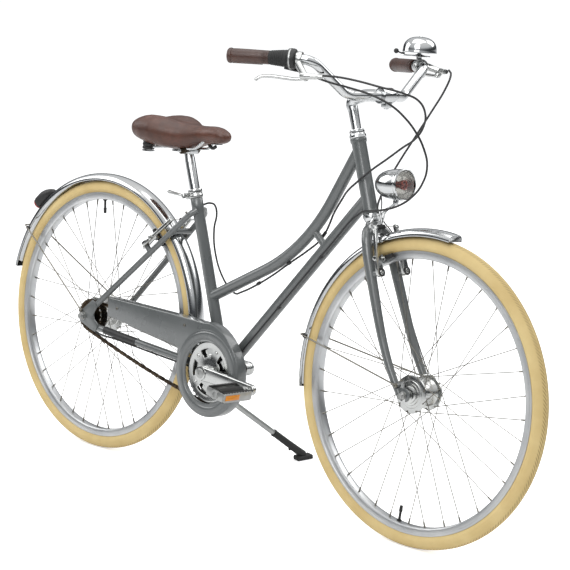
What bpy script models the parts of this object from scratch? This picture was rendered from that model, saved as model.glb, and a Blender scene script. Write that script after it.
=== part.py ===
"""A lady's city bike with a curved low top tube, leaning on its side stand.

The bike is modelled upright in its own frame, in metres: +X forward, +Y to the rider's left, +Z up, with
the rear tyre's contact point at the origin. Each moving body hangs on an empty whose local Z is its joint's
axis. At the end the root empty leans the whole bike onto its stand and centres it on the ground.
"""

import math

import bmesh
import bpy
from mathutils import Matrix, Vector

# Clearances
GAP = 0.0003
RUNNING = 0.0004
WELD = 0.000002
SCREW_MERGE = 0.00001

# Wheels
WHEELBASE = 1.076
RIM_RADIUS = 0.317
TYRE_RISE = 0.031
TYRE_RADIUS = RIM_RADIUS + TYRE_RISE
TYRE_WIDTH = 0.037
RIM_WIDTH = 0.025
RIM_DEPTH = 0.0185
RIM_WALL = 0.002
RIM_CHANNEL = 0.0075
WHEEL_STEPS = 40
SPOKE_PAIRS = 9
SPOKE_RADIUS = 0.0009
SPOKE_CROSS = math.radians(60)
SPOKE_STAGGER = 0.00105
AXLE_RADIUS = 0.005

# Rear hub
REAR_HUB_HALF = 0.038
REAR_SHELL_RADIUS = 0.030
REAR_FLANGE_RADIUS = 0.0465
REAR_FLANGE_PLACE = 0.026
REAR_DROPOUT_HALF = 0.065
DROPOUT_THICKNESS = 0.005

# Front hub, a dynamo
FRONT_HUB_HALF = 0.040
FRONT_SHELL_RADIUS = 0.022
FRONT_FLANGE_RADIUS = 0.043
FRONT_FLANGE_LEFT = 0.040
FRONT_FLANGE_PLACE = 0.029
FRONT_DROPOUT_HALF = 0.050
FLANGE_THICKNESS = 0.004

# Frame
BRACKET_X = 0.460
BRACKET_Z = 0.284
SHELL_HALF = 0.034
SHELL_RADIUS = 0.020
SHELL_BORE = 0.017
SEAT_ANGLE = math.radians(70.3)
SEAT_TUBE_LENGTH = 0.431
SEAT_TUBE_RADIUS = 0.0143
SEAT_POST_RADIUS = 0.0127
HEAD_ANGLE = math.radians(70.5)
FORK_RAKE = 0.051
HEAD_TUBE_START = 0.417
HEAD_TUBE_LENGTH = 0.175
HEAD_TUBE_RADIUS = 0.017
MAIN_TUBE_RADIUS = 0.0139
DOWN_TUBE_RADIUS = 0.015
TOP_TUBE_CORNER = (0.57445, 0.616)
TOP_TUBE_BEND = 0.49
STRUT_TOP = (0.61531, 0.667)
CHAIN_STAY_RADIUS = 0.009
SEAT_STAY_RADIUS = 0.0075
BRIDGE_RADIUS = 0.0075

# Steering
STEERER_RADIUS = 0.0127
STEERER_WALL = 0.0014
CUP_RADIUS = 0.0195
LOWER_CUP_HEIGHT = 0.0175
UPPER_CUP_HEIGHT = 0.011
LOCKNUT_HEIGHT = 0.008
BLADE_TOP_RADIUS = 0.0125
BLADE_TIP_RADIUS = 0.0082
BAR_RADIUS = 0.0111
BAR_CENTRE_RADIUS = 0.0127
BAR_BORE = 0.0117
GRIP_RADIUS = 0.0157

# Brakes
BRAKE_PIVOT_RADIUS = RIM_RADIUS - 0.036
BRAKE_OFFSET = 0.025
BRAKE_ARM_LENGTH = 0.107
BRAKE_ARM_THICKNESS = 0.010
BRAKE_PIN_RADIUS = 0.004
BRAKE_TRACK_RADIUS = 0.311
PAD_GAP = 0.002
PAD_SIZE = (0.052, 0.009, 0.009)

# Drive
CHAIN_LINE = 0.045
CHAIN_PITCH = 0.0127
RING_TEETH = 40
SPROCKET_TEETH = 19
TOOTH_THICKNESS = 0.0021
CHAIN_HEIGHT = 0.0084
CHAIN_WIDTH = 0.0072
CHAIN_SAG = 0.007
CRANK_LENGTH = 0.170
CRANK_ANGLE = math.radians(-3)
CRANK_INNER = 0.0695
CRANK_THICKNESS = 0.013
SPINDLE_RADIUS = 0.008
PEDAL_LENGTH = 0.098
PEDAL_WIDTH = 0.060
PEDAL_HEIGHT = 0.024
PEDAL_PITCH = math.radians(10)

# Chain guard
GUARD_RADIUS = 0.1085
GUARD_OPENING = 0.0755
GUARD_WALL = 0.0025
GUARD_INNER = 0.033
GUARD_OUTER = 0.063

# Mudguards
FENDER_CLEARANCE = 0.019
FENDER_RADIUS = TYRE_RADIUS + FENDER_CLEARANCE
FENDER_HALF = 0.023
FENDER_DROP = 0.016
FENDER_SHEET = 0.0012
STAY_RADIUS = 0.0019

# Stand
LEAN = math.radians(6.5)
STAND_PIVOT = (0.396, 0.030, 0.2346)
STAND_AXIS = (-0.445, 0.895, 0.0)
STAND_FOOT = (0.474, 0.292)
STAND_LEG_RADIUS = 0.007

REAR = Vector((0, 0, TYRE_RADIUS))
FRONT = Vector((WHEELBASE, 0, TYRE_RADIUS))
BRACKET = Vector((BRACKET_X, 0, BRACKET_Z))
ACROSS = Vector((0, 1, 0))
UP = Vector((0, 0, 1))
SEAT_UP = Vector((-math.cos(SEAT_ANGLE), 0, math.sin(SEAT_ANGLE)))
STEER_UP = Vector((-math.cos(HEAD_ANGLE), 0, math.sin(HEAD_ANGLE)))
STEER_FORWARD = Vector((math.sin(HEAD_ANGLE), 0, math.cos(HEAD_ANGLE)))
STEER_FOOT = FRONT - FORK_RAKE * STEER_FORWARD
# The side plane's frame: local X is forward, local Y is up and local Z points to the rider's right.
SIDE = Matrix.Rotation(math.radians(90), 4, "X")


def new_collection(name):
    collection = bpy.data.collections.new(name)
    bpy.context.scene.collection.children.link(collection)
    return collection


for leftover in list(bpy.data.objects):
    bpy.data.objects.remove(leftover, do_unlink=True)
PARTS = new_collection("city_bike")
CUTTERS = new_collection("cutters")
WORLD = {}
EMPTIES = {}
FINISHES = {}


def finish(name, colour, roughness, metallic):
    """A Principled material; its colour is linear."""
    if name not in FINISHES:
        material = bpy.data.materials.new(name)
        material.use_nodes = True
        shader = material.node_tree.nodes["Principled BSDF"]
        shader.inputs["Base Color"].default_value = (*colour, 1)
        shader.inputs["Roughness"].default_value = roughness
        shader.inputs["Metallic"].default_value = metallic
        FINISHES[name] = material
    return FINISHES[name]


def grey_enamel():
    return finish("grey_enamel", (0.105, 0.122, 0.122), 0.3, 0.0)


def chrome():
    return finish("chrome", (0.75, 0.75, 0.74), 0.12, 1.0)


def polished_alloy():
    return finish("polished_alloy", (0.66, 0.66, 0.65), 0.25, 1.0)


def satin_alloy():
    return finish("satin_alloy", (0.56, 0.56, 0.55), 0.4, 1.0)


def dark_steel():
    return finish("dark_steel", (0.09, 0.08, 0.07), 0.45, 1.0)


def black_plastic():
    return finish("black_plastic", (0.018, 0.018, 0.018), 0.45, 0.0)


def black_rubber():
    return finish("black_rubber", (0.022, 0.022, 0.022), 0.7, 0.0)


def khaki_rubber():
    return finish("khaki_rubber", (0.58, 0.46, 0.23), 0.75, 0.0)


def brown_leather():
    return finish("brown_leather", (0.155, 0.058, 0.036), 0.5, 0.0)


def red_plastic():
    return finish("red_plastic", (0.45, 0.01, 0.01), 0.2, 0.0)


def clear_plastic():
    return finish("clear_plastic", (0.8, 0.8, 0.8), 0.05, 0.0)


def link(name, data, matrix=None):
    """A new object among the parts, placed by its matrix."""
    obj = bpy.data.objects.new(name, data)
    PARTS.objects.link(obj)
    if matrix is not None:
        obj.matrix_basis = matrix
    return obj


def from_bmesh(name, shape, matrix):
    mesh = bpy.data.meshes.new(name)
    shape.to_mesh(mesh)
    shape.free()
    return link(name, mesh, matrix)


def facing(direction, at):
    """A matrix whose local Z is the direction."""
    return Matrix.Translation(at) @ Vector(direction).to_track_quat("Z", "Y").to_matrix().to_4x4()


def axes(x, y, z, at):
    """A matrix with the given local axes."""
    return Matrix.Translation(at) @ Matrix((x, y, z)).transposed().to_4x4()


def box(size, matrix):
    shape = bmesh.new()
    bmesh.ops.create_cube(shape, size=1.0)
    bmesh.ops.scale(shape, vec=size, verts=shape.verts)
    return from_bmesh("box", shape, matrix)


def rod(start, end, radius, end_radius=None, sides=16):
    start = Vector(start)
    run = Vector(end) - start
    shape = bmesh.new()
    last = radius if end_radius is None else end_radius
    bmesh.ops.create_cone(
        shape, cap_ends=True, segments=sides, radius1=radius, radius2=last, depth=run.length
    )
    return from_bmesh("rod", shape, facing(run, start + run / 2))


def ball(at, radius, turns=16, rings=10):
    shape = bmesh.new()
    bmesh.ops.create_uvsphere(shape, u_segments=turns, v_segments=rings, radius=radius)
    return from_bmesh("ball", shape, Matrix.Translation(at))


def tube(path, radius, sides=8, widths=None, closed=False):
    """A round bar along the path; widths scale its radius point by point."""
    curve = bpy.data.curves.new("tube", "CURVE")
    curve.dimensions = "3D"
    curve.bevel_depth = radius
    curve.bevel_resolution = (sides - 4) // 2
    curve.use_fill_caps = not closed
    spline = curve.splines.new("POLY")
    spline.points.add(len(path) - 1)
    spline.use_cyclic_u = closed
    for place, point in enumerate(path):
        spline.points[place].co = (*point, 1)
        spline.points[place].radius = widths[place] if widths else 1.0
    return link("tube", curve, Matrix())


def plate(outline, thickness, matrix, holes=()):
    """A flat outline in the matrix's local XY, filled and thickened both ways."""
    curve = bpy.data.curves.new("plate", "CURVE")
    curve.dimensions = "2D"
    curve.fill_mode = "BOTH"
    curve.extrude = thickness / 2
    for ring in (outline, *holes):
        spline = curve.splines.new("POLY")
        spline.points.add(len(ring) - 1)
        spline.use_cyclic_u = True
        for place, (across, along) in enumerate(ring):
            spline.points[place].co = (across, along, 0, 1)
    return link("plate", curve, matrix)


def turned(profile, matrix, steps=32, closed=False, angle=2 * math.pi):
    """A profile of (radius, height) points, turned about the matrix's local Z."""
    mesh = bpy.data.meshes.new("turned")
    edges = [(place, place + 1) for place in range(len(profile) - 1)]
    if closed:
        edges.append((len(profile) - 1, 0))
    mesh.from_pydata([(radius, 0, height) for radius, height in profile], edges, [])
    obj = link("turned", mesh, matrix)
    screw = obj.modifiers.new("turn", "SCREW")
    screw.axis = "Z"
    screw.angle = angle
    screw.steps = steps
    screw.render_steps = steps
    screw.use_merge_vertices = True
    screw.merge_threshold = SCREW_MERGE
    return obj


def ring(inner, outer, low, high, matrix, steps=20):
    """A plain ring about the matrix's local Z."""
    profile = [(outer, high), (outer, low), (inner, low), (inner, high)]
    return turned(profile, matrix, steps, closed=True)


def wake(obj):
    """Turns the object's modifiers on; they sleep while other pieces are made, to save time."""
    for modifier in obj.modifiers:
        modifier.show_viewport = True
        modifier.show_render = True


def as_mesh(obj):
    """The object as a welded mesh with its modifiers applied."""
    if obj.type == "MESH" and not obj.modifiers:
        return obj
    wake(obj)
    graph = bpy.context.evaluated_depsgraph_get()
    mesh = bpy.data.meshes.new_from_object(obj.evaluated_get(graph))
    shape = bmesh.new()
    shape.from_mesh(mesh)
    bmesh.ops.remove_doubles(shape, verts=shape.verts, dist=WELD)
    shape.to_mesh(mesh)
    shape.free()
    made = link(obj.name, mesh, obj.matrix_basis)
    for helper in helpers_of(obj):
        bpy.data.objects.remove(helper)
    bpy.data.objects.remove(obj)
    return made


def helpers_of(obj):
    """The objects that this object's Booleans use."""
    found = []
    for modifier in obj.modifiers:
        if modifier.type == "BOOLEAN" and modifier.operand_type == "COLLECTION":
            found.extend(modifier.collection.objects)
        elif modifier.type == "BOOLEAN":
            found.append(modifier.object)
    return found


def boolean(obj, others, operation):
    """One live Boolean with all the others, which move to the cutters."""
    group = bpy.data.collections.new(operation.lower())
    CUTTERS.children.link(group)
    for other in others:
        helper = as_mesh(other)
        PARTS.objects.unlink(helper)
        group.objects.link(helper)
        helper.hide_render = True
        helper.display_type = "WIRE"
    modifier = obj.modifiers.new(operation.lower(), "BOOLEAN")
    modifier.operation = operation
    modifier.solver = "EXACT"
    modifier.operand_type = "COLLECTION"
    modifier.collection = group
    modifier.show_viewport = False
    modifier.show_render = False
    return obj


def join(base, *others):
    return boolean(as_mesh(base), others, "UNION")


def cut(base, *others):
    if base.type == "CURVE":
        base = as_mesh(base)
    return boolean(base, others, "DIFFERENCE")


def carry(obj, body):
    obj.parent = EMPTIES[body]
    obj.matrix_parent_inverse = WORLD[body].inverted()


def part(name, obj, body, material):
    """Names the piece, gives it its material and hangs it on its body."""
    obj.name = name
    obj.data.name = name
    obj.data.materials.clear()
    obj.data.materials.append(material)
    if obj.type == "MESH":
        obj.data.shade_smooth()
        obj.data.set_sharp_from_angle(angle=math.radians(35))
    carry(obj, body)
    for helper in helpers_of(obj):
        carry(helper, body)
    return obj


def body(name, at, axis, parent):
    """The empty that a moving body hangs on; its local Z is the joint's axis."""
    empty = bpy.data.objects.new(name + "_joint", None)
    empty.empty_display_size = 0.03
    PARTS.objects.link(empty)
    WORLD[name] = facing(axis, at) if parent else Matrix()
    EMPTIES[name] = empty
    if parent:
        empty.parent = EMPTIES[parent]
        empty.matrix_parent_inverse = WORLD[parent].inverted()
    empty.matrix_basis = WORLD[name]
    return empty


def polar(centre, radius, angle):
    """A point of the side plane as (x, z)."""
    return (centre[0] + radius * math.cos(angle), centre[1] + radius * math.sin(angle))


def arc(centre, radius, start, end, steps):
    span = (end - start) / steps
    return [polar(centre, radius, start + span * step) for step in range(steps + 1)]


def rounded(points, radii, steps=8):
    """The points joined by straight lines, with an arc of its own radius at each inner corner."""
    path = [points[0]]
    for before, corner, after, radius in zip(points, points[1:], points[2:], radii):
        back = (before - corner).normalized()
        onward = (after - corner).normalized()
        half = back.angle(onward) / 2
        centre = corner + (back + onward).normalized() * radius / math.sin(half)
        first = corner + back * radius / math.tan(half) - centre
        last = corner + onward * radius / math.tan(half) - centre
        turn = math.pi - 2 * half
        for step in range(steps + 1):
            path.append(centre + Matrix.Rotation(turn * step / steps, 3, first.cross(last)) @ first)
    path.append(points[-1])
    return path


def smooth(points, steps=4):
    """A smooth curve through all the points."""
    points = [Vector(point) for point in points]
    ends = [points[0] * 2 - points[1], *points, points[-1] * 2 - points[-2]]
    path = []
    for a, b, c, d in zip(ends, ends[1:], ends[2:], ends[3:]):
        for step in range(steps):
            t = step / steps
            bend = (2 * a - 5 * b + 4 * c - d) * t * t + (3 * b - a - 3 * c + d) * t**3
            path.append((2 * b + (c - a) * t + bend) / 2)
    path.append(points[-1])
    return path


def on_seat(length, side=0.0):
    """A point on the seat tube's axis, by its distance from the bracket's centre."""
    return BRACKET + SEAT_UP * length + ACROSS * side


def on_steer(length, forward=0.0, side=0.0):
    """A point by its place along the steering axis, ahead of it and beside it."""
    return STEER_FOOT + STEER_UP * length + STEER_FORWARD * forward + ACROSS * side


def reach(start, end, centre, radius):
    """Where the line from start to end is at this distance from the wheel's axle, seen from the side."""
    run = end - start
    off = start - centre
    a = run.x**2 + run.z**2
    b = off.x * run.x + off.z * run.z
    c = off.x**2 + off.z**2 - radius**2
    root = math.sqrt(b * b - a * c)
    shares = [(-b - root) / a, (-b + root) / a]
    share = min(shares, key=lambda value: abs(value - 0.5))
    return start + run * share


def from_front(*points):
    """Points given by their distance ahead of the front axle, so that they move with the wheelbase."""
    return tuple(Vector((WHEELBASE + x, y, z)) for x, y, z in points)


def beside_tubes(*points):
    """Points given by their share of the way from the bracket to the down tube's head end."""
    run = DOWN_TUBE_HEAD.x - BRACKET_X
    return tuple(Vector((BRACKET_X + run * share, y, z)) for share, y, z in points)


def mirrored(point):
    return Vector((point[0], -point[1], point[2]))


# Frame

STAY_PATH = ((0.445, 0.0243, 0.286), (0.400, 0.028, 0.289), (0.376, 0.0305, 0.292),
             (0.350, 0.0345, 0.295), (0.300, 0.040, 0.300), (0.200, 0.0500, 0.310),
             (0.060, 0.0590, 0.3235), (0.036, 0.0605, 0.326))
SEAT_STAY_TOP = Vector((0.322, 0.0255, 0.651))
SEAT_STAY_FOOT = Vector((0.005, 0.064, 0.352))
SEAT_STAY_END = SEAT_STAY_TOP.lerp(SEAT_STAY_FOOT, 0.921)
SEAT_STAY_RUN = (SEAT_STAY_TOP - SEAT_STAY_FOOT).normalized()
SEAT_TUBE_TOP = SEAT_TUBE_LENGTH
POST_BORE_RADIUS = SEAT_POST_RADIUS + RUNNING
POST_BORE_DEPTH = 0.235
REAR_FENDER_CENTRE = Vector((-0.004, 0, TYRE_RADIUS - 0.002))
REAR_FENDER_START = math.radians(-6)
REAR_FENDER_END = math.radians(167)
CHAIN_BRIDGE = Vector((0.370, 0, 0.2925))
STAND_PLATE_TOP = 0.292
STAND_PLATE_SHEET = 0.004
REAR_PIVOT_ROOT = reach(SEAT_STAY_TOP, SEAT_STAY_FOOT, REAR, BRAKE_PIVOT_RADIUS)
REAR_BOSS_RUN = Vector((-SEAT_STAY_RUN.z, 0, SEAT_STAY_RUN.x)).normalized()
REAR_ARM_UP = Vector((REAR_BOSS_RUN.z, 0, -REAR_BOSS_RUN.x))
DOWN_TUBE_HEAD = on_steer(0.455)
TOP_TUBE_HEAD = on_steer(HEAD_TUBE_START + HEAD_TUBE_LENGTH - 0.0245)
TOP_TUBE_SEAT = on_seat(0.185)


def side_point(point, side):
    return Vector((point[0], point[1] * side, point[2]))


def dropout(side):
    """The plate that holds the rear axle, with a slot open to the rear."""
    outline = arc((0, 0), 0.019, math.radians(100), math.radians(262), 6)
    outline += [(0.046, -0.034), (0.056, -0.014), (0.030, 0.004), (0.046, 0.030), (0.030, 0.046)]
    at = REAR + ACROSS * side * (REAR_DROPOUT_HALF + DROPOUT_THICKNESS / 2)
    return plate(outline, DROPOUT_THICKNESS, Matrix.Translation(at) @ SIDE)


def brake_boss(root, run):
    """A brake arm's post, its pin and the pin's head."""
    shoulder = BRAKE_OFFSET - BRAKE_ARM_THICKNESS / 2 - GAP
    far = BRAKE_OFFSET + BRAKE_ARM_THICKNESS / 2 + GAP
    return [
        rod(root, root + run * shoulder, 0.0065, sides=6),
        rod(root, root + run * (far + 0.002), BRAKE_PIN_RADIUS, sides=8),
        rod(root + run * far, root + run * (far + 0.003), 0.0062, sides=8),
    ]


def stay_tubes(side):
    lower = [side_point(point, side) for point in STAY_PATH]
    widths = [1.0] * (len(lower) - 2) + [0.92, 0.89]
    top = Vector((0.333, 0.012, 0.6635))
    upper = [side_point(point, side) for point in (top, SEAT_STAY_TOP, SEAT_STAY_END)]
    return [
        tube(lower, CHAIN_STAY_RADIUS, 8, widths),
        tube(rounded(upper, [0.02], 2), SEAT_STAY_RADIUS, 10),
    ]


def frame_tubes():
    head_low = on_steer(HEAD_TUBE_START)
    head_top = on_steer(HEAD_TUBE_START + HEAD_TUBE_LENGTH)
    corner, strut_top = beside_tubes(
        (TOP_TUBE_CORNER[0], 0, TOP_TUBE_CORNER[1]), (STRUT_TOP[0], 0, STRUT_TOP[1]))
    top_path = rounded([TOP_TUBE_HEAD, corner, TOP_TUBE_SEAT], [TOP_TUBE_BEND], 8)
    down_run = (DOWN_TUBE_HEAD - BRACKET).normalized()
    strut_foot = BRACKET + down_run * (strut_top - BRACKET).dot(down_run)
    pieces = [
        rod(head_low, head_top, HEAD_TUBE_RADIUS, sides=20),
        tube(top_path, MAIN_TUBE_RADIUS, 12),
        rod(BRACKET, DOWN_TUBE_HEAD, DOWN_TUBE_RADIUS, sides=12),
        rod(BRACKET, on_seat(SEAT_TUBE_TOP), SEAT_TUBE_RADIUS, sides=16),
        rod(BRACKET - ACROSS * SHELL_HALF, BRACKET + ACROSS * SHELL_HALF, SHELL_RADIUS, sides=20),
        rod(strut_top, strut_foot, 0.0085, sides=8),
        rod(CHAIN_BRIDGE - ACROSS * 0.024, CHAIN_BRIDGE + ACROSS * 0.024, BRIDGE_RADIUS, sides=8),
    ]
    half = SEAT_STAY_TOP.y + 0.006
    bridge = REAR_FENDER_CENTRE + bridge_direction() * (FENDER_RADIUS + GAP + BRIDGE_RADIUS)
    pieces.append(rod(bridge - ACROSS * half, bridge + ACROSS * half, BRIDGE_RADIUS, sides=8))
    plate_x = CHAIN_BRIDGE.x + 0.020
    plate_z = STAND_PLATE_TOP - STAND_PLATE_SHEET / 2
    at = Matrix.Translation((plate_x, 0, plate_z))
    pieces.append(box((0.040, 0.044, STAND_PLATE_SHEET), at))
    for side in (-1, 1):
        pieces += stay_tubes(side)
        pieces.append(dropout(side))
        root = side_point(REAR_PIVOT_ROOT, side)
        pieces += brake_boss(root, REAR_BOSS_RUN)
    return pieces


def bridge_direction():
    """From the mudguard's centre to the seat stays' bridge."""
    angle = math.radians(43)
    return Vector((math.cos(angle), 0, math.sin(angle)))


def frame_node():
    tubes = frame_tubes()
    frame = join(*tubes)
    head_low = on_steer(HEAD_TUBE_START - 0.01)
    head_top = on_steer(HEAD_TUBE_START + HEAD_TUBE_LENGTH + 0.01)
    bore_end = on_seat(SEAT_TUBE_TOP - POST_BORE_DEPTH)
    slot_high = AXLE_RADIUS + GAP
    cutters = [
        rod(head_low, head_top, STEERER_RADIUS + RUNNING, sides=20),
        rod(bore_end, on_seat(SEAT_TUBE_TOP + 0.01), POST_BORE_RADIUS, sides=16),
        rod(BRACKET - ACROSS * 0.05, BRACKET + ACROSS * 0.05, SHELL_BORE, sides=20),
        rod(REAR - ACROSS * 0.09, REAR + ACROSS * 0.09, slot_high, sides=16),
        box((0.040, 0.18, slot_high * 2), Matrix.Translation(REAR - Vector((0.020, 0, 0)))),
    ]
    cut(frame, *cutters)
    part("frame", frame, "frame", grey_enamel())


def headset():
    low = HEAD_TUBE_START
    high = HEAD_TUBE_START + HEAD_TUBE_LENGTH
    bore = STEERER_RADIUS + RUNNING
    steer = facing(STEER_UP, STEER_FOOT)
    lower = ring(bore, CUP_RADIUS, low - LOWER_CUP_HEIGHT, low - GAP, steer)
    upper = ring(bore, CUP_RADIUS, high + GAP, high + UPPER_CUP_HEIGHT, steer)
    part("headset_lower_cup", lower, "frame", chrome())
    part("headset_upper_cup", upper, "frame", chrome())


CLAMP_HEIGHT = 0.021
CLAMP_RADIUS = 0.0178
CLAMP_BORE = SEAT_POST_RADIUS + RUNNING
SKEWER_BACK = 0.021


def seat_clamp():
    """The collar on the seat tube's end, with the two ears and the skewer of its quick release."""
    low = SEAT_TUBE_TOP + GAP
    seat = facing(SEAT_UP, BRACKET)
    collar = ring(CLAMP_BORE, CLAMP_RADIUS, low, low + CLAMP_HEIGHT, seat)
    middle = on_seat(low + CLAMP_HEIGHT / 2)
    back = ACROSS.cross(SEAT_UP).normalized()
    ears = axes(back, ACROSS, SEAT_UP, middle - back * SKEWER_BACK)
    skewer = middle - back * SKEWER_BACK
    shape = join(
        collar,
        box((0.014, 0.020, CLAMP_HEIGHT * 0.8), ears),
        rod(skewer - ACROSS * 0.016, skewer + ACROSS * 0.018, 0.0028, sides=8),
        rod(skewer + ACROSS * 0.012, skewer + ACROSS * 0.019, 0.0065, sides=10),
    )
    cut(shape, rod(on_seat(low - 0.01), on_seat(low + CLAMP_HEIGHT + 0.01), CLAMP_BORE, sides=20))
    part("seat_clamp", shape, "frame", polished_alloy())


def release_pivot():
    middle = on_seat(SEAT_TUBE_TOP + GAP + CLAMP_HEIGHT / 2)
    back = ACROSS.cross(SEAT_UP).normalized()
    return middle - back * SKEWER_BACK - ACROSS * 0.0215


def release_lever():
    """The lever of the quick release, pointing back from its cam."""
    at = release_pivot()
    back = Vector((-1, 0, 0.10)).normalized()
    cam = rod(at - SEAT_UP * 0.006, at + SEAT_UP * 0.006, 0.0050, sides=12)
    blade = smooth([at, at + back * 0.018, at + back * 0.034 - ACROSS * 0.003,
                    at + back * 0.050 - ACROSS * 0.004], 2)
    widths = [0.9, 0.9, 0.9, 1.0, 1.1, 1.2, 1.15]
    lever = join(cam, tube(blade, 0.0038, 8, widths))
    part("seat_clamp_lever", lever, "seat_clamp_lever", polished_alloy())


# Drive

RING_PITCH = RING_TEETH * CHAIN_PITCH / (2 * math.pi)
SPROCKET_PITCH = SPROCKET_TEETH * CHAIN_PITCH / (2 * math.pi)
TOOTH_TIP = 0.0026
TOOTH_ROOT = 0.0042
RIGHT_LINE = -CHAIN_LINE


def toothed(teeth, pitch):
    """A ring of pointed teeth as (x, z) points about its own centre."""
    outline = []
    for tooth in range(teeth):
        middle = 2 * math.pi * tooth / teeth
        half = math.pi / teeth
        outline.append(polar((0, 0), pitch + TOOTH_TIP, middle))
        outline.append(polar((0, 0), pitch - TOOTH_ROOT, middle + half))
    return outline


def circle(radius, steps, centre=(0, 0)):
    return [polar(centre, radius, 2 * math.pi * step / steps) for step in range(steps)]


def bottom_bracket():
    bore = SPINDLE_RADIUS + RUNNING
    outer = SHELL_BORE - GAP
    lip = SHELL_HALF + GAP
    profile = [(outer, 0.036), (outer, -lip), (SHELL_RADIUS, -lip), (SHELL_RADIUS, -lip - 0.003),
               (bore, -lip - 0.003), (bore, 0.036)]
    cartridge = turned(profile, Matrix.Translation(BRACKET) @ SIDE, 20, closed=True)
    part("bottom_bracket_cartridge", cartridge, "frame", dark_steel())
    spindle = rod(BRACKET - ACROSS * 0.077, BRACKET + ACROSS * 0.077, SPINDLE_RADIUS)
    part("crank_spindle", spindle, "crank", dark_steel())


def strap(length, start_radius, end_radius):
    """The outline of two circles wrapped by a band, from the origin along local X."""
    lean = math.acos((start_radius - end_radius) / length)
    first = arc((0, 0), start_radius, lean, 2 * math.pi - lean, 8)
    return first + arc((length, 0), end_radius, -lean, lean, 6)


def pedal_axle(side):
    angle = CRANK_ANGLE if side < 0 else CRANK_ANGLE + math.pi
    x, z = polar((BRACKET.x, BRACKET.z), CRANK_LENGTH, angle)
    return Vector((x, side * CRANK_INNER, z))


def crank_arm(side):
    """The arm, its boss and the pedal's axle."""
    angle = CRANK_ANGLE if side < 0 else CRANK_ANGLE + math.pi
    middle = BRACKET + ACROSS * side * (CRANK_INNER + CRANK_THICKNESS / 2)
    turn = Matrix.Translation(middle) @ SIDE @ Matrix.Rotation(angle, 4, "Z")
    arm = plate(strap(CRANK_LENGTH, 0.017, 0.012), CRANK_THICKNESS, turn)
    start = pedal_axle(side)
    end = start + ACROSS * side * (CRANK_THICKNESS + 0.106)
    return [arm, rod(start + ACROSS * side * 0.004, end, 0.0045, sides=12)]


def spindle_bore(side):
    inner = BRACKET + ACROSS * side * 0.030
    return rod(inner, BRACKET + ACROSS * side * (0.077 + GAP), SPINDLE_RADIUS + GAP)


def crank_right():
    spider_y = RIGHT_LINE - TOOTH_THICKNESS / 2 - GAP - 0.0022
    face = Matrix.Translation((BRACKET.x, spider_y, BRACKET.z)) @ SIDE
    pieces = crank_arm(-1)
    boss_end = BRACKET - ACROSS * (CRANK_INNER + CRANK_THICKNESS + 0.0025)
    pieces.append(rod(Vector((BRACKET.x, spider_y, BRACKET.z)), boss_end, 0.0162, sides=18))
    pieces.append(plate(circle(0.026, 16), 0.0044, face))
    for arm in range(5):
        turn = Matrix.Rotation(CRANK_ANGLE + 2 * math.pi * (arm + 0.5) / 5, 4, "Z")
        pieces.append(plate([(0.012, -0.010), (0.064, -0.006), (0.066, 0), (0.064, 0.006),
                             (0.012, 0.010)], 0.0040, face @ turn))
    crank = join(*pieces)
    cut(crank, spindle_bore(-1))
    part("crank_right", crank, "crank", polished_alloy())


def crank_left():
    pieces = crank_arm(1)
    inner = BRACKET + ACROSS * (CRANK_INNER - 0.010)
    outer = BRACKET + ACROSS * (CRANK_INNER + CRANK_THICKNESS + 0.0025)
    crank = join(*pieces, rod(inner, outer, 0.0165, sides=16))
    cut(crank, spindle_bore(1))
    part("crank_left", crank, "crank", polished_alloy())


def chainring():
    face = Matrix.Translation((BRACKET.x, RIGHT_LINE, BRACKET.z)) @ SIDE
    shape = plate(toothed(RING_TEETH, RING_PITCH), TOOTH_THICKNESS, face, [circle(0.055, 20)])
    part("chainring", shape, "crank", polished_alloy())


def sprocket():
    """The rear sprocket on the hub gear's driver."""
    face = Matrix.Translation((REAR.x, RIGHT_LINE, REAR.z)) @ SIDE
    teeth = plate(toothed(SPROCKET_TEETH, SPROCKET_PITCH), TOOTH_THICKNESS, face, [circle(0.015, 16)])
    driver = ring(AXLE_RADIUS + RUNNING, 0.0175, REAR_HUB_HALF + 0.0008, 0.0505,
                  Matrix.Translation(REAR) @ SIDE, 16)
    part("rear_sprocket", join(driver, teeth), "rear_sprocket", dark_steel())


def chain_loop(offset):
    """The chain's closed path, this far outside its pitch line, as (x, z) points."""
    rear = (REAR.x, REAR.z)
    front = (BRACKET.x, BRACKET.z)
    run = Vector((front[0] - rear[0], front[1] - rear[1]))
    heading = math.atan2(run.y, run.x)
    tilt = math.acos((SPROCKET_PITCH - RING_PITCH) / run.length)
    around_front = arc(front, RING_PITCH + offset, heading + tilt, heading - tilt, 13)
    around_rear = arc(rear, SPROCKET_PITCH + offset, heading - tilt + 2 * math.pi, heading + tilt, 9)
    start = Vector(around_front[-1])
    end = Vector(around_rear[0])
    lower = []
    for step in range(1, 6):
        share = step / 6
        point = start.lerp(end, share)
        lower.append((point.x, point.y - CHAIN_SAG * math.sin(math.pi * share)))
    return around_front + lower + around_rear


def chain():
    """The chain as one loop with a groove for the teeth."""
    half = CHAIN_HEIGHT / 2
    face = Matrix.Translation((0, RIGHT_LINE, 0)) @ SIDE
    loop = plate(chain_loop(half), CHAIN_WIDTH, face, [chain_loop(-half)])
    groove = plate(chain_loop(half - 0.0006), 0.0030, face, [chain_loop(-half - 0.002)])
    part("chain", cut(loop, groove), "frame", dark_steel())


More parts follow.
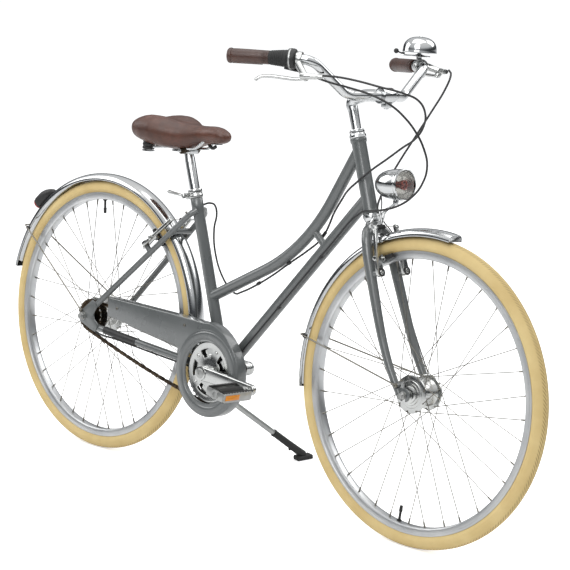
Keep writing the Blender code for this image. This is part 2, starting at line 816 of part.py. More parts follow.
def guard_outline(inset, rear):
    """The guard's side view: the ring around the chainring, swelling into the arm over the chain."""
    centre = (BRACKET.x, BRACKET.z)
    radius = GUARD_RADIUS - inset
    points = [(rear, 0.409 - inset), (0.200, 0.4075 - inset), (0.330, 0.406 - inset)]
    swell = 0.0125
    for step in range(7):
        angle = math.radians(101 - 61 * step / 6)
        grown = radius + swell * (1 + math.cos(math.pi * step / 6)) / 2
        points.append(polar(centre, grown, angle))
    points += arc(centre, radius, math.radians(30), math.radians(-202), 22)
    points.append((0.345, 0.331 + inset))
    points.append((rear, 0.361 + inset))
    return points


def chain_guard():
    """The painted guard: a shell open towards the frame and at its rear end."""
    depth = GUARD_OUTER - GUARD_INNER
    middle = (GUARD_OUTER + GUARD_INNER) / 2
    shell = plate(guard_outline(0, 0.084), depth, Matrix.Translation((0, -middle, 0)) @ SIDE)
    hub = Matrix.Translation(BRACKET) @ SIDE
    lip = turned(
        [(GUARD_OPENING, 0.0612), (0.0800, 0.0652), (0.0950, 0.0658), (0.1030, 0.0645),
         (0.1060, 0.0615), (0.1040, 0.0607), (0.0785, 0.0607)][::-1], hub, 28, closed=True)
    tab_x = on_seat((0.403 - BRACKET.z) / SEAT_UP.z).x
    tab_from = -SEAT_TUBE_RADIUS - GAP
    tab_to = -GUARD_INNER - 0.004
    tab = box((0.020, tab_from - tab_to, 0.003),
              Matrix.Translation((tab_x, (tab_from + tab_to) / 2, 0.4025)))
    shape = join(shell, tab)
    hollow = plate(guard_outline(GUARD_WALL, 0.060), depth, Matrix.Translation(
        (0, -middle + GUARD_WALL, 0)) @ SIDE)
    opening = rod(BRACKET - ACROSS * 0.05, BRACKET - ACROSS * 0.08, GUARD_OPENING, sides=28)
    stay = tube([side_point(point, -1) for point in STAY_PATH[:6]], CHAIN_STAY_RADIUS + 0.007, 8)
    run = Vector((0.460, 0, -0.105)).normalized()
    exit_at = Vector((0.366, -0.046, 0.2195))
    exit_slot = box((0.074, 0.024, 0.028), axes(run, ACROSS, run.cross(ACROSS), exit_at))
    tab_again = box((0.020, tab_from - tab_to, 0.003),
                    Matrix.Translation((tab_x, (tab_from + tab_to) / 2, 0.4025)))
    hollowed = as_mesh(cut(shape, hollow, opening, stay, exit_slot))
    shape = join(hollowed, lip, tab_again)
    part("chain_guard", shape, "frame", grey_enamel())


def pedal(side):
    """A cage around a core that turns on the crank's axle."""
    start = pedal_axle(side)
    inner = CRANK_THICKNESS + 0.0175
    middle = start + ACROSS * side * (inner + PEDAL_LENGTH / 2)
    turn = Matrix.Translation(middle) @ Matrix.Rotation(PEDAL_PITCH, 4, "Y")
    cage = box((PEDAL_WIDTH, PEDAL_LENGTH, PEDAL_HEIGHT), turn)
    core_start = start + ACROSS * side * (inner - 0.006)
    core = rod(core_start, middle + ACROSS * side * (PEDAL_LENGTH / 2 + 0.003), 0.0115, sides=16)
    beam = box((0.012, PEDAL_LENGTH - 0.002, 0.018), turn)
    shape = cage
    bays = []
    for along in (-1, 1):
        bay = (PEDAL_WIDTH - 0.028) / 2
        at = turn @ Matrix.Translation((along * (0.010 + bay / 2), 0, 0))
        bays.append(box((bay, PEDAL_LENGTH - 0.012, PEDAL_HEIGHT * 1.4), at))
    framed = as_mesh(cut(as_mesh(shape), *bays))
    whole = as_mesh(join(framed, core, beam))
    bore = rod(start, start + ACROSS * side * (CRANK_THICKNESS + 0.106 + GAP), 0.0045 + RUNNING, sides=12)
    name = "pedal_right" if side < 0 else "pedal_left"
    part(name, cut(whole, bore), name, satin_alloy())


# Wheels


def wheel_matrix(at):
    """The side plane, turned so that a flat of the wheel's outline lies at the bottom."""
    return Matrix.Translation(at) @ SIDE @ Matrix.Rotation(math.pi / WHEEL_STEPS, 4, "Z")


def flats(profile):
    """The profile grown so that the middle of each flat has the profile's radius."""
    grow = 1 / math.cos(math.pi / WHEEL_STEPS)
    return [(radius * grow, height) for radius, height in profile]


def tyre(name, at, wheel):
    tube_radius = TYRE_WIDTH / 2
    centre = TYRE_RADIUS - tube_radius
    bead = RIM_WIDTH / 2 - RIM_WALL - RUNNING
    seat = RIM_RADIUS + 0.0008
    floor = RIM_RADIUS - RIM_CHANNEL + 0.001
    right = [(floor, bead), (seat, bead)]
    crown = [(centre + tube_radius * math.cos(angle), tube_radius * math.sin(angle))
             for angle in (math.pi / 2, math.pi / 4, 0, -math.pi / 4, -math.pi / 2)]
    left = [(radius, -height) for radius, height in reversed(right)]
    shape = turned(flats(right + crown + left), wheel_matrix(at), WHEEL_STEPS, closed=True)
    part(name, shape, wheel, khaki_rubber())


def rim(name, at, wheel):
    half = RIM_WIDTH / 2
    inner = half - RIM_WALL
    floor = RIM_RADIUS - RIM_CHANNEL
    bed = RIM_RADIUS - RIM_DEPTH
    profile = [(RIM_RADIUS, half), (RIM_RADIUS, inner), (floor, inner), (floor, -inner),
               (RIM_RADIUS, -inner), (RIM_RADIUS, -half), (bed, 0.002 - half), (bed, half - 0.002)]
    shape = turned(flats(profile), wheel_matrix(at), WHEEL_STEPS, closed=True)
    part(name, shape, wheel, satin_alloy())


def spokes(at, flanges):
    """Crossed spokes; each flange gives its side, its place across and its hole circle."""
    rods = []
    end_radius = RIM_RADIUS - RIM_DEPTH - 0.0007
    for side, place, holes in flanges:
        for number in range(2 * SPOKE_PAIRS):
            rim_angle = math.pi * (number + (side > 0) / 2) / SPOKE_PAIRS
            lean = SPOKE_CROSS if number % 2 else -SPOKE_CROSS
            stagger = SPOKE_STAGGER if number % 2 else -SPOKE_STAGGER
            hub_x, hub_z = polar((at.x, at.z), holes, rim_angle + lean)
            rim_x, rim_z = polar((at.x, at.z), end_radius, rim_angle)
            start = Vector((hub_x, side * place + stagger, hub_z))
            end = Vector((rim_x, side * 0.0030 + stagger, rim_z))
            rods.append(rod(start, end, SPOKE_RADIUS, sides=3))
    return rods


def flange(radius, place, body_radius):
    """The profile points of one spoke flange, from its outer face to its inner face."""
    half = FLANGE_THICKNESS / 2
    sign = 1 if place > 0 else -1
    points = [(body_radius, place + half * sign), (radius, place + half * sign),
              (radius, place - half * sign), (body_radius, place - half * sign)]
    return points if sign > 0 else points[::-1]


def rear_hub():
    half = REAR_HUB_HALF
    shell = REAR_SHELL_RADIUS
    bore = AXLE_RADIUS + RUNNING
    profile = [(0.021, half)]
    profile += flange(REAR_FLANGE_RADIUS, REAR_FLANGE_PLACE, shell)
    profile += flange(REAR_FLANGE_RADIUS, -REAR_FLANGE_PLACE, shell)
    profile += [(0.021, -half), (bore, -half), (bore, half)]
    hub = turned(profile, Matrix.Translation(REAR) @ SIDE, 20, closed=True)
    holes = REAR_FLANGE_RADIUS - 0.003
    sides = [(-1, REAR_FLANGE_PLACE, holes), (1, REAR_FLANGE_PLACE, holes)]
    part("rear_hub", join(hub, *spokes(REAR, sides)), "rear_wheel", satin_alloy())


def front_hub():
    half = FRONT_HUB_HALF
    shell = FRONT_SHELL_RADIUS
    bore = AXLE_RADIUS + RUNNING
    place = FRONT_FLANGE_PLACE
    profile = [(0.019, half)]
    profile += flange(FRONT_FLANGE_RADIUS, place, 0.030)
    profile += [(shell, 0.014), (shell, -0.014)]
    profile += flange(FRONT_FLANGE_LEFT, -place, 0.030)
    profile += [(0.019, -half), (bore, -half), (bore, half)]
    hub = turned(profile, Matrix.Translation(FRONT) @ SIDE, 20, closed=True)
    sides = [(-1, place, FRONT_FLANGE_RADIUS - 0.003), (1, place, FRONT_FLANGE_LEFT - 0.003)]
    part("front_hub", join(hub, *spokes(FRONT, sides)), "front_wheel", polished_alloy())


def axle(name, at, holder, inner, outer, nut_radius, end, spacers):
    """A fixed axle with a nut outside each dropout and spacers on its sides."""
    pieces = [rod(at - ACROSS * end, at + ACROSS * end, AXLE_RADIUS, sides=10)]
    for side in (-1, 1):
        start = at + ACROSS * side * (outer + GAP)
        pieces.append(rod(start, start + ACROSS * side * 0.0085, nut_radius, sides=6))
        if side in spacers:
            near = at + ACROSS * side * (spacers[side] + RUNNING)
            pieces.append(rod(near, at + ACROSS * side * (inner - GAP), 0.0095, sides=8))
    part(name, join(*pieces), holder, satin_alloy())


def axles():
    rear_outer = REAR_DROPOUT_HALF + DROPOUT_THICKNESS
    axle("rear_axle", REAR, "frame", REAR_DROPOUT_HALF, rear_outer, 0.0095, 0.084, {1: REAR_HUB_HALF})
    front_outer = FRONT_DROPOUT_HALF + DROPOUT_THICKNESS
    both = {-1: FRONT_HUB_HALF, 1: FRONT_HUB_HALF}
    axle("front_axle", FRONT, "fork", FRONT_DROPOUT_HALF, front_outer, 0.0085, 0.068, both)


def shift_cassette():
    """The hub gear's cable joint, between the sprocket and the right dropout."""
    matrix = Matrix.Translation(REAR) @ SIDE
    shape = ring(AXLE_RADIUS + GAP, 0.0205, 0.0510, REAR_DROPOUT_HALF - GAP, matrix)
    part("shift_cassette", shape, "frame", black_plastic())


# Mudguards


def fender_strip(centre, radius, start, end, steps):
    """The rolled strip of one mudguard; the crown's outer face has the given radius."""
    section = [(radius - FENDER_DROP, FENDER_HALF), (radius - 0.0060, 0.0195), (radius, 0.0085),
               (radius, -0.0085), (radius - 0.0060, -0.0195), (radius - FENDER_DROP, -FENDER_HALF)]
    matrix = Matrix.Translation(centre) @ SIDE @ Matrix.Rotation(start, 4, "Z")
    strip = turned(section, matrix, steps, angle=end - start)
    strip.modifiers["turn"].use_merge_vertices = False
    sheet = strip.modifiers.new("sheet", "SOLIDIFY")
    sheet.thickness = FENDER_SHEET
    sheet.offset = -1
    return strip


def rear_fender():
    strip = fender_strip(REAR_FENDER_CENTRE, FENDER_RADIUS, REAR_FENDER_START, REAR_FENDER_END, 22)
    x, z = polar((REAR_FENDER_CENTRE.x, REAR_FENDER_CENTRE.z), FENDER_RADIUS - FENDER_SHEET / 2,
                 REAR_FENDER_START + math.radians(1.2))
    tab_face = CHAIN_BRIDGE.x - BRIDGE_RADIUS - GAP
    tab_top = Vector((x, 0, z))
    tab_foot = Vector((tab_face - 0.0008, 0, CHAIN_BRIDGE.z - 0.003))
    run = tab_foot - tab_top
    normal = run.cross(ACROSS).normalized()
    tab = box((0.0016, 0.016, run.length), axes(normal, ACROSS, run.normalized(), (tab_top + tab_foot) / 2))
    part("rear_fender", join(strip, tab), "frame", chrome())


EYE_HALF = 0.0025
REAR_EYE = Vector((-0.0078, REAR_DROPOUT_HALF + DROPOUT_THICKNESS + 0.0008 + EYE_HALF, 0.0135))
FRONT_EYE = Vector((-0.0160, 0.0655, 0.0200))
FRONT_FENDER_CENTRE = Vector((WHEELBASE + 0.010, 0, TYRE_RADIUS))
FRONT_FENDER_START = math.radians(81.7)
FRONT_FENDER_END = math.radians(187.7)


def front_fender():
    strip = fender_strip(FRONT_FENDER_CENTRE, FENDER_RADIUS, FRONT_FENDER_START, FRONT_FENDER_END, 14)
    part("front_fender", strip, "fork", chrome())


def fender_stay(name, body_name, fender_centre, angle, eye):
    """One wire from an eyelet at the left dropout, over the mudguard's edges and back to the right."""
    edge_x, edge_z = polar((fender_centre.x, fender_centre.z), FENDER_RADIUS - 0.010, angle)
    over_x, over_z = polar((fender_centre.x, fender_centre.z), FENDER_RADIUS + STAY_RADIUS + GAP, angle)
    half = FENDER_HALF + STAY_RADIUS + 0.0006
    corner = Vector((edge_x, half, edge_z))
    top = Vector((over_x, half, over_z))
    points = [eye, corner, top, mirrored(top), mirrored(corner), mirrored(eye)]
    path = rounded(points, [0.03, 0.004, 0.004, 0.03], 2)
    ends = []
    for side in (-1, 1):
        at = side_point(eye, side)
        ends.append(rod(at - ACROSS * side * EYE_HALF, at + ACROSS * side * EYE_HALF, 0.0050, sides=8))
    part(name, join(tube(path, STAY_RADIUS, 6), *ends), body_name, polished_alloy())


def rear_light():
    """The rear lamp that lies on the mudguard's crown, and its lens at the rear end."""
    angle = math.radians(133.5)
    out = Vector((math.cos(angle), 0, math.sin(angle)))
    tangent = Vector((-out.z, 0, out.x))
    seat = REAR_FENDER_CENTRE + out * (FENDER_RADIUS + GAP)
    matrix = axes(tangent, ACROSS * -1, out, seat)
    low = box((0.064, 0.034, 0.016), matrix @ Matrix.Translation((0, 0, 0.008)))
    shape = join(low, tube([matrix @ Vector((-0.024, 0, 0.0130)), matrix @ Vector((0.0, 0, 0.0170)),
                            matrix @ Vector((0.032, 0, 0.0170))], 0.0165, 16, [0.6, 1.0, 1.0]))
    part("rear_light_housing", shape, "frame", black_plastic())
    lens_at = Vector((0.032 + GAP, 0, 0.0170))
    lens = turned([(0, 0.011), (0.010, 0.0095), (0.0155, 0.004), (0.0165, 0), (0, 0)],
                  matrix @ Matrix.Translation(lens_at) @ Matrix.Rotation(math.pi / 2, 4, "Y"), 20)
    part("rear_light_lens", lens, "frame", red_plastic())


# Fork and bars

CROWN_LENGTH = HEAD_TUBE_START - LOWER_CUP_HEIGHT - GAP
LOCKNUT_TOP = HEAD_TUBE_START + HEAD_TUBE_LENGTH + UPPER_CUP_HEIGHT + GAP + LOCKNUT_HEIGHT
BLADE_PATH = from_front(
    (-0.179, 0.004, 0.692), (-0.172, 0.0235, 0.688), (-0.162, 0.036, 0.671), (-0.1545, 0.0395, 0.65),
    (-0.144, 0.042, 0.62), (-0.12, 0.045, 0.558), (-0.097, 0.048, 0.5), (-0.073, 0.05, 0.445),
    (-0.045, 0.0515, 0.393), (-0.016, 0.052, 0.349))
BLADE_STRAIGHT = from_front((-0.156, 0.04, 0.663), (-0.12, 0.045, 0.558))
FRONT_PIVOT_ROOT = reach(BLADE_STRAIGHT[0], BLADE_STRAIGHT[1], FRONT, BRAKE_PIVOT_RADIUS)
FRONT_ARM_RUN = (BLADE_STRAIGHT[0] - BLADE_STRAIGHT[1]).normalized()
FRONT_BOSS_RUN = Vector((FRONT_ARM_RUN.z, 0, -FRONT_ARM_RUN.x)).normalized()
FRONT_ARM_UP = Vector((-FRONT_BOSS_RUN.z, 0, FRONT_BOSS_RUN.x))
QUILL_RADIUS = STEERER_RADIUS - STEERER_WALL - GAP


def fork():
    steer = facing(STEER_UP, STEER_FOOT)
    top = LOCKNUT_TOP
    pieces = [
        rod(on_steer(0.370), on_steer(top - 0.001), STEERER_RADIUS, sides=20),
        rod(on_steer(0.372), on_steer(CROWN_LENGTH), 0.0175, sides=16),
        rod(on_steer(top - LOCKNUT_HEIGHT), on_steer(top), 0.0175, sides=8),
    ]
    boss_top = on_steer(0.385)
    boss_run = (boss_top - FRONT_FENDER_CENTRE).normalized()
    boss_foot = FRONT_FENDER_CENTRE + boss_run * (FENDER_RADIUS + GAP)
    pieces.append(rod(boss_foot, boss_top, 0.0055, sides=8))
    for side in (-1, 1):
        path = [side_point(point, side) for point in BLADE_PATH]
        last = len(path) - 1
        widths = []
        for place in range(len(path)):
            share = max(0.0, (place - 4) / (last - 4))
            widths.append(1 - share * (1 - BLADE_TIP_RADIUS / BLADE_TOP_RADIUS))
        pieces.append(tube(path, BLADE_TOP_RADIUS, 10, widths))
        outline = arc((0, 0), 0.0155, math.radians(-130), math.radians(110), 7)
        outline += [(-0.020, 0.013), (-0.022, -0.004)]
        at = FRONT + ACROSS * side * (FRONT_DROPOUT_HALF + DROPOUT_THICKNESS / 2)
        pieces.append(plate(outline, DROPOUT_THICKNESS, Matrix.Translation(at) @ SIDE))
        eyelet = side_point(FRONT + FRONT_EYE, side)
        inner = Vector((eyelet.x, side * FRONT_DROPOUT_HALF, eyelet.z))
        outer = eyelet - ACROSS * side * (EYE_HALF + GAP)
        pieces.append(rod(inner + ACROSS * side * 0.002, outer, 0.0045, sides=8))
        pieces += brake_boss(side_point(FRONT_PIVOT_ROOT, side), FRONT_BOSS_RUN)
    shape = join(*pieces)
    slot = AXLE_RADIUS + GAP
    cutters = [
        rod(on_steer(0.490), on_steer(top + 0.01), STEERER_RADIUS - STEERER_WALL, sides=20),
        rod(FRONT - ACROSS * 0.08, FRONT + ACROSS * 0.08, slot, sides=16),
        box((slot * 2, 0.16, 0.030), Matrix.Translation(FRONT - UP * 0.015)),
    ]
    cut(shape, *cutters)
    part("fork", shape, "fork", grey_enamel())


BAR_MIDDLE, BAR_LOW, BAR_END = from_front(
    (-0.176, 0, 0.9915), (-0.206, 0.093, 0.987), (-0.395, 0.279, 1.055))
BAR_RUN = Vector((0.162, -0.085, 0.005)).normalized()
BAR_SLEEVE = 0.189
BAR_CORNER = BAR_END + BAR_RUN * BAR_SLEEVE
BAR_OUT = Vector((-BAR_RUN.y, BAR_RUN.x, 0)).normalized()


def on_bar(along, out=0.0, down=0.0, side=1):
    """A point by its distance from the bar's end, outside it and below it."""
    return side_point(BAR_END + BAR_RUN * along + BAR_OUT * out - UP * down, side)


def bar_frame(side):
    """A matrix with its origin at the bar's end and its local Z along the grip towards the bend."""
    run = side_point(BAR_RUN, side)
    return facing(run, side_point(BAR_END, side))


def stem():
    neck = on_steer(0.655)
    bend, shoulder = from_front((-0.273, 0, 0.967), (-0.246, 0, 0.984))
    head = BAR_MIDDLE - Vector((0.012, 0, 0.001))
    path = smooth([on_steer(LOCKNUT_TOP - 0.070), on_steer(LOCKNUT_TOP - 0.020), on_steer(LOCKNUT_TOP + 0.004),
                   neck, bend, shoulder, head], 2)
    full = QUILL_RADIUS
    widths = []
    for place in range(len(path)):
        share = min(1.0, max(0.0, (place - 4) / 4))
        widths.append(1 + share * 0.30)
    quill = tube(path, full, 12, widths)
    clamp = rod(BAR_MIDDLE - ACROSS * 0.019, BAR_MIDDLE + ACROSS * 0.019, 0.0185, sides=16)
    bolt_top = BAR_MIDDLE + Vector((0.006, 0, -0.010))
    bolt = rod(bolt_top - UP * 0.016, bolt_top, 0.008, sides=10)
    shape = join(quill, clamp, bolt)
    cut(shape, rod(BAR_MIDDLE - ACROSS * 0.03, BAR_MIDDLE + ACROSS * 0.03, BAR_CENTRE_RADIUS + GAP, sides=16))
    part("stem", shape, "fork", polished_alloy())


def handlebar():
    half = [BAR_MIDDLE + ACROSS * 0.030, BAR_LOW, BAR_CORNER, BAR_END]
    points = [side_point(point, -1) for point in reversed(half)] + half
    path = rounded(points, [0.040, 0.050, 0.060, 0.060, 0.050, 0.040], 3)
    widths = []
    for point in path:
        widths.append(BAR_CENTRE_RADIUS / BAR_RADIUS if abs(point.y) < 0.0225 else 1.0)
    part("handlebar", tube(path, BAR_RADIUS, 10, widths), "fork", polished_alloy())


def sleeve(side, start, end, radii, closed_end=False):
    """A sleeve on the bar; radii are outer radii at shares of its length."""
    outer = [(radius, start + (end - start) * share) for share, radius in reversed(radii)]
    if closed_end:
        profile = [(0, -GAP), (BAR_BORE, -GAP), (BAR_BORE, end), *outer, (0, start)]
    else:
        profile = [*outer, (BAR_BORE, start), (BAR_BORE, end)]
    return turned(profile, bar_frame(side), 16, closed=not closed_end)


GRIP_END = 0.078
SHIFTER_END = 0.131
HOUSING_END = 0.153
LEVER_CLAMP_END = 0.167
LEFT_GRIP_END = 0.124


def grips():
    swell = [(0.0, 0.0115), (0.02, 0.0150), (0.06, 0.0170), (0.12, 0.0160), (0.5, GRIP_RADIUS), (1.0, 0.0150)]
    right = sleeve(-1, -0.004, GRIP_END, swell, closed_end=True)
    left = sleeve(1, -0.004, LEFT_GRIP_END, swell, closed_end=True)
    part("grip_right", right, "fork", brown_leather())
    part("grip_left", left, "fork", brown_leather())


def shifter():
    """The gear changer: the turning grip and the fixed housing beside it."""
    taper = [(0.0, 0.0152), (0.3, 0.0162), (1.0, 0.0185)]
    grip = sleeve(-1, GRIP_END + GAP, SHIFTER_END, taper)
    part("shifter_grip", grip, "shifter_grip", black_rubber())
    box_radii = [(0.0, 0.0200), (0.15, 0.0225), (0.85, 0.0225), (1.0, 0.0200)]
    housing = sleeve(-1, SHIFTER_END + GAP, HOUSING_END, box_radii)
    part("shifter_housing", housing, "fork", black_plastic())


LEVER_OUT = {-1: 0.016, 1: 0.036}
LEVER_DOWN = {-1: 0.039, 1: 0.018}
LEVER_ALONG = 0.182
LEVER_THICKNESS = 0.007
LEVER_PIN = 0.0024
BRACKET_ARM = 0.0052
ADJUSTER_END = 0.034


def lever_pivot(side):
    return on_bar(LEVER_ALONG, LEVER_OUT[side], LEVER_DOWN[side], side)


def lever_away(side):
    """From the bar's axis towards the lever, square to the bar."""
    out = side_point(BAR_OUT, side) * LEVER_OUT[side] - UP * LEVER_DOWN[side]
    run = side_point(BAR_RUN, side)
    return (out - run * out.dot(run)).normalized()


def lever_axis(side):
    """The lever pulls towards the bar with a positive turn about this axis."""
    return side_point(BAR_RUN, side).cross(lever_away(side)).normalized()


def lever_point(side, along, away):
    return side_point(BAR_END, side) + side_point(BAR_RUN, side) * along + lever_away(side) * away


def lever_bracket(side):
    """The clamp on the bar, the arm down to the lever's pin and the cable's adjuster."""
    pivot = lever_pivot(side)
    axis = lever_axis(side) * side
    clamp = ring(BAR_BORE, 0.0165, HOUSING_END + GAP, LEVER_CLAMP_END, bar_frame(side), 14)
    root = lever_point(side, LEVER_CLAMP_END - 0.0066, 0.0125) + axis * 0.007
    near = pivot + axis * (LEVER_THICKNESS / 2 + GAP)
    cheek = near + axis * (BRACKET_ARM + 0.0012)
    outside = pivot - axis * (LEVER_THICKNESS / 2 + GAP)
    run = side_point(BAR_RUN, side)
    pieces = [
        clamp,
        rod(root, cheek, 0.0060, BRACKET_ARM, sides=8),
        rod(near, near + axis * 0.007, 0.0080, sides=8),
        rod(outside - axis * 0.002, near + axis * 0.002, LEVER_PIN, sides=6),
        rod(outside - axis * 0.002, outside, 0.0045, sides=6),
        rod(cheek - run * 0.002, cheek + run * 0.020, 0.0050, 0.0042, sides=6),
        rod(cheek + run * 0.018, cheek + run * ADJUSTER_END, 0.0036, sides=6),
    ]
    bore = rod(on_bar(HOUSING_END - 0.01, side=side), on_bar(LEVER_CLAMP_END + 0.01, side=side),
               BAR_BORE, sides=14)
    name = "brake_bracket_right" if side < 0 else "brake_bracket_left"
    part(name, cut(join(*pieces), bore), "fork", polished_alloy())


def brake_lever(side):
    """The blade from its pin past the grip, with a curled end."""
    pivot = lever_pivot(side)
    axis = lever_axis(side)
    half = LEVER_THICKNESS / 2
    eye = rod(pivot - axis * half, pivot + axis * half, 0.0075, sides=12)
    away = (pivot - side_point(BAR_END, side)).dot(lever_away(side))
    path = smooth([pivot, lever_point(side, 0.168, away + 0.004), lever_point(side, 0.130, away + 0.003),
                   lever_point(side, 0.096, away + 0.001), lever_point(side, 0.078, away + 0.004),
                   lever_point(side, 0.070, away + 0.010)], 2)
    widths = [1.0, 1.05, 1.1, 1.15, 1.2, 1.2, 1.15, 1.1, 1.1, 1.1, 1.0]
    shape = join(eye, tube(path, 0.0034, 8, widths))
    cut(shape, rod(pivot - axis * 0.01, pivot + axis * 0.01, LEVER_PIN + RUNNING, sides=6))
    name = "brake_lever_right" if side < 0 else "brake_lever_left"
    part(name, shape, name, polished_alloy())


BELL_ALONG = 0.146
BELL_RISE = 0.022
BELL_RADIUS = 0.033
BELL_THUMB = Vector((-0.717, -0.697, 0))


def bell_base():
    """The middle of the bell's base, above the bar's axis."""
    return on_bar(BELL_ALONG) + UP * BELL_RISE


def bell_pivot():
    return bell_base() + BELL_THUMB * 0.0385


def bell():
    """The dome on its base, and the clamp that holds it to the bar."""
    base = bell_base()
    dome = turned(
        [(0, 0.046), (0.013, 0.0445), (0.023, 0.0395), (0.030, 0.031), (BELL_RADIUS, 0.019),
         (BELL_RADIUS, 0.006), (0.0315, 0.005), (0.0315, 0.018), (0.0287, 0.030), (0.0220, 0.038),
         (0.0125, 0.043), (0, 0.0444)], Matrix.Translation(base), 14)
    pivot = bell_pivot()
    lug = axes(BELL_THUMB, UP.cross(BELL_THUMB), UP, base + BELL_THUMB * 0.031 + UP * 0.0015)
    clamp = ring(BAR_BORE, 0.0150, BELL_ALONG - 0.006, BELL_ALONG + 0.0065, bar_frame(1), 14)
    pieces = [
        clamp,
        rod(on_bar(BELL_ALONG) + UP * 0.0125, base + UP * 0.001, 0.0065, sides=12),
        rod(base, base + UP * 0.003, 0.026, sides=14),
        rod(base, base + UP * 0.0452, 0.0035, sides=8),
        box((0.024, 0.010, 0.003), lug),
        rod(pivot + UP * 0.002, pivot + UP * 0.0085, 0.0019, sides=8),
        dome,
    ]
    part("bell", join(*pieces), "fork", chrome())


def bell_lever():
    pivot = bell_pivot()
    low = pivot + UP * (0.003 + GAP)
    eye = rod(low, low + UP * 0.0042, 0.0045, sides=12)
    tip = pivot + BELL_THUMB * 0.016 + UP * 0.0095
    wire = rod(low + UP * 0.002 + BELL_THUMB * 0.002, tip, 0.0017, sides=6)
    shape = join(eye, wire, ball(tip, 0.0060, 10, 6))
    cut(shape, rod(pivot, pivot + UP * 0.012, 0.0019 + GAP, sides=8))
    part("bell_lever", shape, "bell_lever", black_plastic())


LAMP_RIM = Vector((WHEELBASE - 0.095, 0, 0.801))
LAMP_RUN = Vector((0.996, 0, 0.087)).normalized()
LAMP_RADIUS = 0.0364


def headlamp():
    matrix = facing(LAMP_RUN, LAMP_RIM)
    shell = [(0, -0.029), (0.018, -0.024), (0.0310, -0.0055), (0.0335, -0.005), (0.0335, 0), (LAMP_RADIUS, 0),
             (LAMP_RADIUS, -0.007), (0.0345, -0.010), (0.0350, -0.026), (0.0320, -0.048), (0.0240, -0.067),
             (0.0120, -0.078), (0, -0.080)]
    part("headlight_shell", turned(shell, matrix, 20), "fork", chrome())
    lens = [(0, 0.0045), (0.018, 0.0035), (0.0332, 0), (0.0332, -0.0047), (0, -0.0047)]
    part("headlight_lens", turned(lens, matrix, 20), "fork", clear_plastic())
    crown = on_steer(0.386, 0.0175 + GAP)
    under = LAMP_RIM - LAMP_RUN * 0.026 + ACROSS.cross(LAMP_RUN) * (0.0350 + GAP)
    path = smooth([crown + STEER_FORWARD * 0.003, crown + Vector((0.006, 0, 0.014)),
                   Vector((WHEELBASE - 0.148, 0, 0.734)), under - Vector((0.010, 0, 0.014)),
                   under - UP * 0.003], 2)
    foot = rod(under - UP * 0.009, under - UP * 0.0004, 0.006, sides=12)
    eye = rod(crown, crown + STEER_FORWARD * 0.003, 0.0085, sides=12)
    shape = join(tube(path, 0.0032, 8), foot, eye)
    part("headlight_bracket", shape, "fork", polished_alloy())


# Brakes


def pad_matrix(at, wheel, side):
    """The brake shoe's frame: along the rim, across it and outwards from the axle."""
    out = Vector((at.x - wheel.x, 0, at.z - wheel.z)).normalized()
    tangent = ACROSS.cross(out)
    return axes(tangent, ACROSS, out, at)


def brake_arm(name, root, boss_run, arm_up, wheel, side):
    """An arm on its boss, with its shoe beside the rim's brake track."""
    pivot = side_point(root, side) + boss_run * BRAKE_OFFSET
    inward = ACROSS * -side
    frame = axes(inward, arm_up, inward.cross(arm_up), pivot)
    outline = arc((0, 0), 0.0095, math.radians(200), math.radians(340), 6)
    outline += [(0.0090, 0.024), (0.0085, 0.050), (0.0125, BRAKE_ARM_LENGTH), (0.0035, BRAKE_ARM_LENGTH),
                (-0.0035, 0.050), (-0.0080, 0.022)]
    arm = plate(outline, BRAKE_ARM_THICKNESS, frame)
    track = reach(pivot, pivot + arm_up * 0.060, wheel, BRAKE_TRACK_RADIUS)
    length, depth, height = PAD_SIZE
    pad_y = side * (RIM_WIDTH / 2 + PAD_GAP + depth / 2)
    pad_at = Vector((track.x, pad_y, track.z))
    shoe = box((length, depth, height), pad_matrix(pad_at, wheel, side))
    stud = rod(pad_at, Vector((track.x, pivot.y, track.z)), 0.0042, sides=8)
    shape = join(arm, shoe, stud)
    cut(shape, rod(pivot - boss_run * 0.02, pivot + boss_run * 0.02, BRAKE_PIN_RADIUS + RUNNING, sides=8))
    part(name, shape, name, polished_alloy())


def brake_arms():
    for side, word in ((-1, "right"), (1, "left")):
        brake_arm("front_brake_arm_" + word, FRONT_PIVOT_ROOT, FRONT_BOSS_RUN, FRONT_ARM_UP, FRONT, side)
        brake_arm("rear_brake_arm_" + word, REAR_PIVOT_ROOT, REAR_BOSS_RUN, REAR_ARM_UP, REAR, side)


# Cables, each on the route that its clips and stops give it

REAR_BRAKE_ROUTE = (
    *from_front(
        (-0.186, -0.199, 1.029), (-0.159, -0.184, 1.029), (-0.121, -0.165, 1.025),
        (-0.068, -0.138, 1.015), (-0.028, -0.11, 1.006), (-0.006, -0.085, 0.993),
        (-0.002, -0.065, 0.968), (-0.015, -0.05, 0.939), (-0.043, -0.04, 0.909), (-0.083, -0.034, 0.885),
        (-0.127, -0.03, 0.856), (-0.175, -0.0265, 0.825), (-0.214, -0.0235, 0.796),
        (-0.248, -0.018, 0.77), (-0.276, -0.004, 0.7465), (-0.301, 0.0, 0.711)),
    *beside_tubes(
        (0.71626, 0.0085, 0.687), (0.6778, 0.0125, 0.661), (0.63935, 0.0125, 0.64),
        (0.57685, 0.006, 0.6155), (0.44706, 0.0, 0.5755), (0.3365, 0.0, 0.543), (0.22113, 0.0, 0.513),
        (0.08893, 0.0, 0.4845)),
    (0.455, 0.016, 0.475), (0.41, 0.0225, 0.5), (0.372, 0.0235, 0.56), (0.362, 0.0225, 0.62),
    (0.368, 0.0215, 0.66), (0.36, 0.0205, 0.678), (0.344, 0.0215, 0.681), (0.322, 0.0245, 0.676),
    (0.292, 0.027, 0.662))
